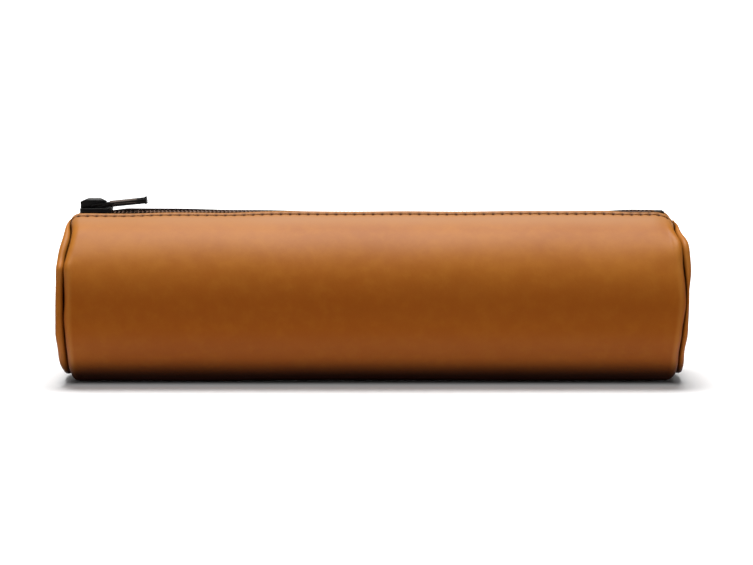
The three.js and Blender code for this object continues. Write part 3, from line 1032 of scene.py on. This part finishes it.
    def dressed(
        self,
        name: str,
        rows: Array,
        angle: Array,
        side: Side | None,
    ) -> Piece:
        """Makes one zone of the hide as a closed sheet.

        Args:
            name: the piece's name.
            rows: its stations.
            angle: its angles.
            side: its wall, or None for the base.

        Returns:
            The new object.
        """
        outer, inner = self.skin(rows, angle, 0.0, side), self.skin(rows, angle, self.gauge, side)
        points, faces = closed_sheet(outer, inner)
        x, path, sewn = rows[:, 0:1], rows[:, 4:5], rows[:, 5:6]
        shape = (len(rows), len(angle))
        pinch = self.pinch(x, angle[None, :])
        # Painted shade in the fold of the seam at each end
        crease = 0.85 * step(sewn, 0.55, 0.95) * (1 - 0.8 * np.clip(pinch, 0, 1)) + np.zeros(shape)
        # Wear and painted highlight along the rolled edge by each seam
        rub = 0.55 * bell(sewn, 0.3, 0.22) * np.ones(shape)
        nap, dye = np.zeros(shape), np.zeros(shape)
        if side is not None:
            lap = self.lap(angle, side)[None, :]
            line, hole = self.furrow(path, lap)
            # Painted shade along the stitch line and in its holes
            crease = np.clip(crease + (hole * 2.6 + line * 2.5) * (1 - 0.5 * sewn), 0, 1)
            raw = bell(x, 96.6, 1.7) * bell(lap, 0.8, 2.2)
            # Wear and painted highlight beside the cut edge, with the paler raw tip near the right
            # end
            rub = np.clip(rub + 0.75 * bell(lap, 1.1, 0.7) * (1 - sewn) + raw, 0, 1)
            nap = nap + 0.35 * np.exp(-lap / 0.12)
            wider = 0.7 * step(x, 76, 84)
            clear = (1 - raw) * (1 - step(np.abs(x), 90, 95.5))
            # Darker over the cut edge and a narrow strip beside it
            dye = dye + (1 - step(lap - wider, 0.3, 0.75)) * clear
        stored = {
            "dye": np.concatenate([dye.ravel(), dye.ravel()]),
            "crease": np.concatenate([np.clip(crease, 0, 1).ravel(), np.zeros(crease.size)]),
            "rub": np.concatenate([np.clip(rub, 0, 1).ravel(), np.zeros(rub.size)]),
            "nap": np.concatenate([np.clip(nap, 0, 1).ravel(), np.ones(nap.size)]),
        }
        return add_piece(name, points, faces, self.leather, stored, crisp=55)

    def follow(self, piece: Piece, side: Side, end: End) -> None:
        """Bakes the placement of a piece of a half wall into its mesh.

        Args:
            piece: the piece.
            side: its wall; not used.
            end: its end; not used.
        """
        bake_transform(piece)

    def build(self) -> list[Piece]:
        """Makes the base strip and the four half walls.

        Returns:
            The pieces.
        """
        strip = np.linspace(270 - self.flex, 270 + self.flex, 15)
        made = [self.dressed("base_strip", self.stations(), strip, None)]
        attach(made[0], "case")
        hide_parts("barrel_base_panel")
        for side, end in product(Side, End):
            name = f"{side.word}_hide_{end.word}"
            piece = self.dressed(name, self.half(end), self.wall_angles(side), side)
            self.follow(piece, side, end)
            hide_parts(f"barrel_{side.word}_panel")
            made.append(piece)
        return made


@dataclass
class RoundEnd:
    """A leather disc with a folded rim, sewn to the barrel from inside."""

    barrel: Barrel
    end: End
    face: float = 3.3
    dome: float = 0.45
    rim_radius: float = 23.9
    rim: float = 1.5
    allowance_radius: float = 20.0
    steps: int = 240

    def profile(self) -> Array:
        """Lists the outer path from the middle of the disc to the end of its allowance.

        Returns:
            Rows of reach, radius, normal reach, normal radius, rim share and seam share.
        """
        r = self.rim_radius * np.sqrt(np.linspace(0, 1, 16))[:-1]
        bulge = self.face + self.dome * (1 - (r / self.rim_radius) ** 2)
        disc = columns(bulge, r, 1.0, 0.0, step(r, 16, 24), 0.0)
        turn = np.radians(np.linspace(0, 180, 19))
        fold = columns(
            self.face - self.rim + self.rim * np.cos(turn),
            self.rim_radius + self.rim * np.sin(turn),
            np.cos(turn),
            np.sin(turn),
            1.0,
            step(turn, math.radians(80), math.radians(180)),
        )
        drop = np.linspace(self.rim_radius, self.allowance_radius, 5)[1:]
        flange = columns(self.face - 2 * self.rim, drop, -1.0, 0.0, 1.0, 1.0)
        return np.concatenate([disc, fold, flange])

    def skin(self, depth: float, angle: Array) -> Array:
        """Points of the disc at a depth below its grain side.

        Args:
            depth: how far below.
            angle: angles round the axis.

        Returns:
            Points, path by angles by three.
        """
        u, r, nu, nr, rim, sewn = (self.profile()[:, k : k + 1] for k in range(6))
        rise, turn = 180.0 - angle[None, :], np.radians(angle)[None, :]
        marks = self.barrel.marks[self.end]
        pinch, swell = round_marks(rise, marks.pinches), round_marks(rise, marks.swells)
        draw = round_marks(rise, marks.draws)
        loose = sum(size * np.cos(folds * turn + lead) for size, folds, lead in LOOSE)
        share = r / self.rim_radius
        hollow = (1 - share**2).clip(0, 1) * (0.22 * np.cos(turn * 2 + 0.7) * share - 0.12)
        swollen = np.maximum(swell + loose * (1 - 0.8 * sewn), -0.76 * self.face)
        reach = (u - depth * nu) * (1 + rim * swollen / self.face) + hollow
        radial = r - depth * nr + rim * (1.15 * pinch + 0.35 * loose) * np.clip(share, 0, 1) ** 3
        across = self.end.value * (self.barrel.half_length + reach - rim * draw)
        return columns(across, radial * np.cos(turn), self.barrel.axis_z + radial * np.sin(turn))

    def build(self) -> list[Piece]:
        """Makes the disc as one closed skin.

        Returns:
            The piece, in a list.
        """
        angle = np.linspace(0, 360, self.steps, endpoint=False)
        outer, inner = self.skin(0.0, angle), self.skin(self.barrel.gauge, angle)
        rings = np.concatenate([outer[1:], inner[:0:-1]])
        points = np.concatenate([rings.reshape(-1, 3), outer[0, :1], inner[0, :1]])
        faces = grid_faces(len(rings), self.steps, closed=True)
        around = np.arange(self.steps)
        after = (around + 1) % self.steps
        last = (len(rings) - 1) * self.steps
        pairs = list(zip(around, after))
        every = faces.tolist() + [[len(points) - 2, b, a] for a, b in pairs]
        every += [[len(points) - 1, last + a, last + b] for a, b in pairs]
        if self.end is End.RIGHT:
            every = [f[::-1] for f in every]
        path = self.profile()[1:]
        pinch = round_marks(180.0 - angle, self.barrel.marks[self.end].pinches)[None, :]
        # Painted shade in the fold of the seam
        crease = 0.85 * step(path[:, 5:6], 0.5, 1.0) * (1 - 0.8 * np.clip(pinch, 0, 1))
        # Wear and painted highlight along the folded rim
        rub = 0.5 * bell(path[:, 5:6], 0.12, 0.25) * path[:, 4:5] * np.ones((1, self.steps))
        blank, poles = np.zeros(crease.size), np.zeros(2)
        stored = {
            "crease": np.concatenate([crease.ravel(), blank, poles]),
            "rub": np.concatenate([np.clip(rub, 0, 1).ravel(), blank, poles]),
            "nap": np.concatenate([blank, blank + 1, [0.0, 1.0]]),
        }
        name = f"{self.end.word}_round_end"
        piece = add_piece(name, points, every, self.barrel.leather, stored, crisp=60)
        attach(piece, "case")
        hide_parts(f"{self.end.word}_end_cap")
        return [piece]


@dataclass
class Stitching:
    """Lock stitches laid along a path by Geometry Nodes, each turned by a small random skew."""

    barrel: Barrel
    thread: Material
    span: float = 2.35
    girth: float = 0.31
    sink: float = 0.5
    crown: float = 0.34
    bed: float = 0.21
    skew: Span = (0.02, 0.13)
    row_stitches: int = 33
    seam_stitches: int = 46
    seam_depth: float = 4.6
    seam_under_hide: float = 1.22
    seam_under_tape: float = 1.86
    tape_spread: float = 27.5

    def tree(self) -> NodeTree:
        """Builds the tree that puts one bent stitch on each point of a path.

        Returns:
            The tree.
        """
        g, take = new_tree("stitch_row", ["Stitches"], ["Span", "Girth", "Sink", "Crown"])
        curve = g.node("GeometryNodeMeshToCurve", {}, {"Mesh": take["Geometry"]})
        spots = {"Curve": curve, "Count": take["Stitches"]}
        path = g.node("GeometryNodeResampleCurve", {"mode": "COUNT"}, spots)

        def spot(share: float, height: Socket) -> Socket:
            """A point along the stitch, at a share of its span."""
            return g.node("ShaderNodeCombineXYZ", {}, {0: take["Span"] * share, 1: 0.0, 2: height})

        bent = g.node("GeometryNodeCurvePrimitiveBezierSegment", {"mode": "POSITION"}, {
            "Resolution": 6,
            "Start": spot(-0.5, take["Sink"] * -1.0),
            "Start Handle": spot(-0.3, take["Crown"]),
            "End Handle": spot(0.3, take["Crown"]),
            "End": spot(0.5, take["Sink"] * -1.0),
        })
        share = g.node("GeometryNodeSplineParameter", {}, {}, "Factor")
        thick = 1.0 - 0.45 * abs(share * 2.0 - 1.0) ** 2.0
        stitch = g.tube(bent, take["Girth"], {"Scale": thick})
        vector = {"data_type": "FLOAT_VECTOR"}
        lie = g.node("GeometryNodeInputNamedAttribute", vector, {"Name": "lie"})
        ways = {"Primary Axis": g.node("GeometryNodeInputTangent"), "Secondary Axis": lie}
        axes = {"primary_axis": "X", "secondary_axis": "Z"}
        turn = g.node("FunctionNodeAxesToRotation", axes, ways)
        draw = {2: self.skew[0], 3: self.skew[1], "Seed": 7}
        yaw = g.node("FunctionNodeRandomValue", {"data_type": "FLOAT"}, draw, 1)
        about = {"Axis": (0.0, 0.0, 1.0), "Angle": yaw}
        skew = g.node("FunctionNodeAxisAngleToRotation", {}, about)
        ways = {"Rotation": turn, "Rotate By": skew}
        turn = g.node("FunctionNodeRotateRotation", {"rotation_space": "LOCAL"}, ways)
        laid = {"Points": path, "Instance": stitch, "Rotation": turn}
        return end_tree(g, g.node("GeometryNodeInstanceOnPoints", {}, laid), self.thread)

    def path(self, points: Array, lie: Array, closed: bool = False) -> bpy.types.Mesh:
        """Makes a path mesh that keeps the direction that its stitches face.

        Args:
            points: the path, in millimetres.
            lie: the outward direction at each point.
            closed: True where it joins up.

        Returns:
            The mesh.
        """
        mesh = bpy.data.meshes.new("stitch_path")
        count = len(points)
        edges = [(k, (k + 1) % count) for k in range(count if closed else count - 1)]
        mesh.from_pydata((points * MM).tolist(), edges, [])
        kept = mesh.attributes.new("lie", "FLOAT_VECTOR", "POINT")
        kept.data.foreach_set("vector", lie.astype(np.float32).ravel())
        return mesh

    def build(self) -> list[Piece]:
        """Sews both cut edges beside the zip, and both ends from inside.

        Returns:
            The pieces.
        """
        tree, barrel = self.tree(), self.barrel
        words = ("span", "girth", "sink", "crown")
        sizes = {word.title(): getattr(self, word) * MM for word in words}
        made, count = [], self.row_stitches
        inset = barrel.lip_angle + math.degrees(barrel.stitch_inset / barrel.radius)
        away = np.linspace(0.5, count - 0.5, 8 * count) * barrel.stitch_pitch
        for side, end in product(Side, End):
            angle = 90.0 - side.value * inset
            turn = math.radians(angle)
            rows = barrel.station_at(end.value * away)
            rows[:, 2:4] /= np.linalg.norm(rows[:, 2:4], axis=1, keepdims=True)
            points = barrel.skin(rows, np.array([angle]), self.bed, side)[:, 0]
            lie = columns(rows[:, 2], rows[:, 3] * math.cos(turn), rows[:, 3] * math.sin(turn))
            name = f"{side.word}_stitches_{end.word}"
            piece = grown(name, self.path(points, lie), tree, {**sizes, "Stitches": count})
            barrel.follow(piece, side, end)
            made.append(piece)
        angle = np.linspace(0, 360, 180, endpoint=False)
        for end in End:
            row = barrel.station_at(np.array([end.value * (barrel.half_length + self.seam_depth)]))
            over_tape = np.abs(angle - 90.0)[:, None] < self.tape_spread
            depths = (self.seam_under_tape, self.seam_under_hide)
            points = np.where(over_tape, *(barrel.skin(row, angle, depth)[0] for depth in depths))
            lie = np.tile([-float(end.value), 0.0, 0.0], (len(angle), 1))
            path, counted = self.path(points, lie, closed=True), {"Stitches": self.seam_stitches}
            piece = grown(f"{end.word}_seam_stitches", path, tree, {**sizes, **counted})
            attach(piece, "case")
            made.append(piece)
        return made


@dataclass
class Zip:
    """Two woven tapes and two rows of nylon coil, under the cut edges.

    The coil sinks by the dip between two spans. Its loops are squared by a power below one.
    """

    barrel: Barrel
    webbing: Material
    nylon: Material
    split: float = 3.2
    width: float = 11.0
    tape: float = 0.6
    tape_depth: float = 1.24
    pitch: float = 1.3
    wire: float = 0.29
    coil_low: float = 54.15
    coil_high: float = 55.65
    reach: float = 3.0
    overlap: float = 0.7
    coil_start: float = -93.1
    coil_end: float = 92.2
    dip: float = 0.35
    dip_from: Span = (-42.0, -18.0)
    dip_to: Span = (72.0, 84.0)
    points_per_loop: int = 16
    squareness: Span = (0.62, 0.7)
    tape_pace: float = 1.5
    tape_columns: int = 13

    def tape_piece(self, side: Side, end: End) -> Piece:
        """Makes half a tape, which lies under the hide and turns down into the seam.

        Args:
            side: which wall.
            end: which half.

        Returns:
            The new object.
        """
        barrel = self.barrel
        rows = barrel.half(end)
        bent = np.abs(rows[:, 4]) > barrel.half_length - barrel.roll
        rows = rows[bent | (np.abs(rows[:, 0]) % self.tape_pace < SLIGHT)]
        top = barrel.radius - self.tape_depth
        first = math.degrees(math.asin(self.split / 2 / top))
        across = np.linspace(0, self.width, self.tape_columns)
        angle = 90.0 - side.value * (first + np.degrees(across / top))
        outer = barrel.skin(rows, angle, self.tape_depth, side)
        inner = barrel.skin(rows, angle, self.tape_depth + self.tape, side)
        points, faces = closed_sheet(outer, inner)
        cloth = columns(rows[:, 4:5], across[None, :]).reshape(-1, 2)
        weave, name = np.concatenate([cloth, cloth]), f"{side.word}_tape_{end.word}"
        piece = add_piece(name, points, faces, self.webbing, weave=weave, crisp=50)
        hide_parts(f"{side.word}_zip_tape")
        return piece

    def coil_tree(self) -> NodeTree:
        """Builds the tree that winds one unbroken filament into a row of loops.

        Returns:
            The tree.
        """
        names = [
            "Start", "Pitch", "Way", "Middle", "Half reach", "Height", "Half height", "Wire", "Dip",
        ]
        g, take = new_tree("coil_row", ["Points", "Points per loop"], names)
        modes = {"mode": "OFFSET", "count_mode": "TOTAL"}
        line = g.node("GeometryNodeMeshLine", modes, {"Count": take["Points"]})
        turns = g.node("GeometryNodeInputIndex") / take["Points per loop"]
        phase = turns * (2 * math.pi)
        swing, rise = (
            wave.sign() * abs(wave) ** power
            for wave, power in zip((phase.cosine(), phase.sine()), self.squareness)
        )
        along = take["Start"] + turns * take["Pitch"] * take["Way"]
        spans = (self.dip_from, self.dip_to)
        begun, ended = (g.ease(along, low * MM, high * MM) for low, high in spans)
        sunk = begun * (1.0 - ended) * take["Dip"]
        spot = g.node("ShaderNodeCombineXYZ", {}, {
            0: along,
            1: take["Middle"] + swing * take["Half reach"],
            2: take["Height"] + rise * take["Half height"] - sunk,
        })
        line = g.node("GeometryNodeSetPosition", {}, {"Geometry": line, "Position": spot})
        curve = g.node("GeometryNodeMeshToCurve", {}, {"Mesh": line})
        return end_tree(g, g.tube(curve, take["Wire"], {}), self.nylon)

    def coil_piece(self, side: Side, end: End, tree: NodeTree) -> Piece:
        """Winds half a coil row.

        Args:
            side: which wall.
            end: which half.
            tree: the coil's tree.

        Returns:
            The new object.
        """
        shift = 0.0 if side is Side.FRONT else self.pitch / 2
        limit = self.coil_start if end is End.LEFT else self.coil_end
        loops = int((abs(limit) - self.wire - (shift if end is End.RIGHT else -shift)) / self.pitch)
        half = (self.reach + self.overlap) / 2 - self.wire
        middle = side.value * (self.reach - self.overlap) / 2
        sizes = {
            "Points": loops * self.points_per_loop + 1,
            "Points per loop": self.points_per_loop,
            "Start": shift * MM,
            "Pitch": self.pitch * MM,
            "Way": float(end.value),
            "Middle": middle * MM,
            "Half reach": side.value * half * MM,
            "Height": (self.coil_low + self.coil_high) / 2 * MM,
            "Half height": end.value * ((self.coil_high - self.coil_low) / 2 - self.wire) * MM,
            "Wire": self.wire * MM,
            "Dip": self.dip * MM,
        }
        piece = grown(f"{side.word}_coil_{end.word}", bpy.data.meshes.new("coil_seed"), tree, sizes)
        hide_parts(f"{side.word}_zip_coil")
        return piece

    def build(self) -> list[Piece]:
        """Makes both tapes and both coil rows, in halves.

        Returns:
            The pieces.
        """
        tree = self.coil_tree()
        made = []
        for side, end in product(Side, End):
            for piece in (self.tape_piece(side, end), self.coil_piece(side, end, tree)):
                self.barrel.follow(piece, side, end)
                made.append(piece)
        return made


@dataclass(frozen=True)
class Softening:
    """How one cast or stamped piece loses its sharp edges.

    Edges shorter than the least, and those in the slot, stay crisp.
    """

    node: str
    body: str
    width: float
    segments: int = 2
    settle: float = 0.0
    crisp_slot: float = 0.0
    least: float = 0.0
    lacquer: Lacquer = Lacquer.BLACK


@dataclass
class Fittings:
    """The slider, its crown and puller, the lock spring and the stops."""

    enamel: dict[Lacquer, Material]
    steel: Material
    bush_bore: float = 0.57
    bush_half: float = 0.69
    bush_reach: Span = (1.12, 1.58)
    gusset_reach: Span = (1.96, 2.7)
    gusset_side: tuple[Span, ...] = (
        (0.9, -0.45), (0.9, -0.58), (3.2, -0.92), (5.7, -0.94), (5.7, -0.45),
    )
    weld: float = 0.002
    sharp_angle: float = 22.0
    flat_angle: float = 1.0
    shade_angle: float = 38.0
    bush_points: int = 32
    pieces: tuple[Softening, ...] = (
        Softening("slider_body", "slider", 0.16, least=0.1),
        Softening("slider_crown", "slider", 0.2, 3, 0.12, 0.8),
        Softening("puller", "puller", 0.14, 3, least=0.286),
        Softening("front_top_stop", "case", 0.09),
        Softening("rear_top_stop", "case", 0.09),
        Softening("bottom_stop", "case", 0.11, lacquer=Lacquer.BROWN),
    )

    def softened(self, plan: Softening) -> Piece:
        """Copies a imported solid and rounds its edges.

        Args:
            plan: which solid, and how much.

        Returns:
            The new object.
        """
        form = bmesh.new()
        form.from_mesh(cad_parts[plan.node].data)
        bmesh.ops.remove_doubles(form, verts=form.verts, dist=self.weld * MM)
        flat = math.radians(self.flat_angle)
        bmesh.ops.dissolve_limit(form, angle_limit=flat, verts=form.verts, edges=form.edges)
        foot = min(v.co.z for v in form.verts) + 0.02 * MM
        for vert in form.verts:
            vert.co.z -= plan.settle * MM if vert.co.z < foot else 0.0
        low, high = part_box(plan.node)
        slot, limit = plan.crisp_slot * MM, math.radians(self.sharp_angle)
        crisp = {v for e in form.edges if e.calc_length() < plan.least * MM for v in e.verts}
        sharp = [
            e for e in form.edges
            if len(e.link_faces) == 2 and e.calc_face_angle_signed() > limit
            and crisp.isdisjoint(e.verts)
            and any(abs(v.co.x - (low[0] + high[0]) / 2) >= slot for v in e.verts)
        ]
        bmesh.ops.bevel(
            form, geom=sharp, offset=plan.width * MM, offset_type="OFFSET", segments=plan.segments,
            profile=0.5, affect="EDGES", clamp_overlap=not plan.least,
        )
        bmesh.ops.triangulate(form, faces=[f for f in form.faces if len(f.verts) > 4])
        bmesh.ops.dissolve_degenerate(form, dist=self.weld * MM, edges=form.edges)
        mesh = bpy.data.meshes.new(f"{plan.node}_cast")
        form.to_mesh(mesh)
        form.free()
        mesh.materials.clear()
        mesh.materials.append(self.enamel[plan.lacquer])
        mesh.shade_smooth()
        mesh.set_sharp_from_angle(angle=math.radians(self.shade_angle))
        made = linked(f"{plan.node}_cast", mesh)
        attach(made, plan.body)
        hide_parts(plan.node)
        return made

    def pin_bush(self) -> Piece:
        """Makes the round seats that close the crown's slots about the pin.

        Returns:
            The new object.
        """
        turn = np.linspace(0, 2 * math.pi, self.bush_points, endpoint=False)
        way = columns(np.cos(turn), np.sin(turn))
        square = way / np.abs(way).max(axis=1, keepdims=True) * self.bush_half
        points, faces = [], []
        for side in Side:
            near, far = (side.value * reach for reach in self.bush_reach)
            bore = way * self.bush_bore
            rings = [(bore, near), (bore, far), (square, far), (square, near)]
            count, last = len(turn), 3 * len(turn)
            quads = grid_faces(len(rings), count, closed=True).tolist()
            quads += [[last + k, last + (k + 1) % count, (k + 1) % count, k] for k in range(count)]
            faces += [[at + len(points) for at in quad[:: side.value]] for quad in quads]
            x, z = PULLER_PIN
            points += [(x + u, y, z + w) for ring, y in rings for u, w in ring]
        piece = add_piece("pin_bush", np.array(points), faces, self.enamel[Lacquer.BLACK], crisp=40)
        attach(piece, "slider")
        return piece

    def loop_gusset(self) -> Piece:
        """Makes the webs that deepen the loop's arms towards the bar.

        Returns:
            The new object.
        """
        lean = math.radians(PULLER_TILT)
        u, w = np.array(self.gusset_side).T
        x = PULLER_PIN[0] + u * math.cos(lean) - w * math.sin(lean)
        z = PULLER_PIN[1] + u * math.sin(lean) + w * math.cos(lean)
        points, faces = [], []
        for side in Side:
            inner, outer = sorted(side.value * reach for reach in self.gusset_reach)
            near = np.arange(len(u)) + len(points)
            far, after = near + len(u), np.roll(near, -1)
            points += [(across, y, up) for y in (inner, outer) for across, up in zip(x, z)]
            faces += [near, far[::-1], *np.stack([near, far, after + len(u), after], -1)]
        black = self.enamel[Lacquer.BLACK]
        piece = add_piece("loop_gusset", np.array(points), faces, black, crisp=20)
        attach(piece, "puller")
        return piece

    def build(self) -> list[Piece]:
        """Makes the cast pieces and dresses the spring.

        Returns:
            The pieces.
        """
        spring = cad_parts["lock_spring"]
        spring.data.materials.clear()
        spring.data.materials.append(self.steel)
        cast = [self.softened(plan) for plan in self.pieces]
        return [*cast, self.pin_bush(), self.loop_gusset(), spring]


@dataclass
class Studio:
    """Pale table, one wide soft light overhead and the camera.

    The camera's lengths are in millimetres, and those of the table and the light in metres.
    """

    table: Material
    distance: float = 800.0
    elevation: float = 6.0
    aim: Triple = (1.15, 0.0, 31.95)
    focal_pixels: float = 2432.0
    frame_width: int = 753
    reach: float = 3.2
    cove: float = 0.4
    backdrop: float = 0.55
    spokes: int = 96
    light_size: Span = (0.8, 0.7)
    light_place: Triple = (-0.05, 0.07, 1.2)
    light_power: float = 30.5
    ambient: float = 0.015

    def floor(self) -> Piece:
        """Makes the table and its backdrop as one turned sheet.

        Returns:
            The sheet.
        """
        flat, cove = self.reach - self.cove, self.cove
        rings = [(r, 0.0) for r in np.geomspace(0.2, flat, 9)]
        bend = np.linspace(0.2, math.pi / 2, 7)
        rings += [(flat + cove * math.sin(a), cove - cove * math.cos(a)) for a in bend]
        rings.append((self.reach, self.backdrop))
        turn = np.linspace(0, 2 * math.pi, self.spokes, endpoint=False)
        around = [(r * math.cos(t), r * math.sin(t), z) for r, z in rings for t in turn]
        points = np.array([*around, (0.0, 0.0, 0.0)]) / MM
        faces = grid_faces(len(rings), self.spokes, closed=True)[:, ::-1].tolist()
        faces += [[len(points) - 1, k, (k + 1) % self.spokes] for k in range(self.spokes)]
        made = add_piece("pale_table", points, faces, self.table)
        return made

    def light(self) -> None:
        """Hangs the soft light and sets a dim room."""
        lamp = bpy.data.lights.new("overhead_softbox", "AREA")
        lamp.shape = "RECTANGLE"
        lamp.size, lamp.size_y = self.light_size
        lamp.energy = self.light_power
        holder = linked("overhead_softbox", lamp)
        holder.location = self.light_place
        aim = Vector((0, 0, 0.03)) - Vector(self.light_place)
        holder.rotation_euler = aim.to_track_quat("-Z", "Y").to_euler()
        world = bpy.data.worlds.new("dim_room")
        world.use_nodes = True
        backdrop = world.node_tree.nodes["Background"]
        backdrop.inputs["Color"].default_value = (1.0, 1.0, 1.0, 1.0)
        backdrop.inputs["Strength"].default_value = self.ambient
        bpy.context.scene.world = world

    def camera(self) -> None:
        """Sets the camera in front of the case and a little above it."""
        lens = bpy.data.cameras.new("front_camera")
        lens.sensor_width = 36.0
        lens.lens = self.focal_pixels / self.frame_width * lens.sensor_width
        lens.clip_start, lens.clip_end = 0.05, 20.0
        holder = linked("front_camera", lens)
        lift = math.radians(self.elevation)
        back = Vector((0.0, -math.cos(lift), math.sin(lift)))
        holder.location = (Vector(self.aim) + back * self.distance) * MM
        holder.rotation_euler = (-back).to_track_quat("-Z", "Y").to_euler()
        bpy.context.scene.camera = holder
        bpy.context.scene.view_settings.view_transform = "Standard"

    def build(self) -> None:
        """Makes the whole studio."""
        self.floor()
        self.light()
        self.camera()


def main() -> None:
    """Builds the case in order and reports each piece."""
    logging.basicConfig(level=logging.INFO, format="%(name)s: %(message)s")
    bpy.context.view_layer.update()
    Studio(PaleTable().material()).build()
    barrel = Barrel(Hide().material())
    black, brown = Enamel(), Enamel("brown_enamel", (0.02, 0.013, 0.0095), (0.045, 0.031, 0.024))
    enamel = {Lacquer.BLACK: black.material(), Lacquer.BROWN: brown.material()}
    groups = [
        ("barrel", barrel),
        ("left end", RoundEnd(barrel, End.LEFT)),
        ("right end", RoundEnd(barrel, End.RIGHT)),
        ("zip", Zip(barrel, Webbing().material(), Nylon().material())),
        ("stitching", Stitching(barrel, Thread().material())),
        ("fittings", Fittings(enamel, SpringSteel().material())),
    ]
    for title, group in groups:
        for piece in group.build():
            log.info("%s: %s, %d faces", title, piece.name, len(piece.data.polygons))


if __name__ == "__main__":
    main()
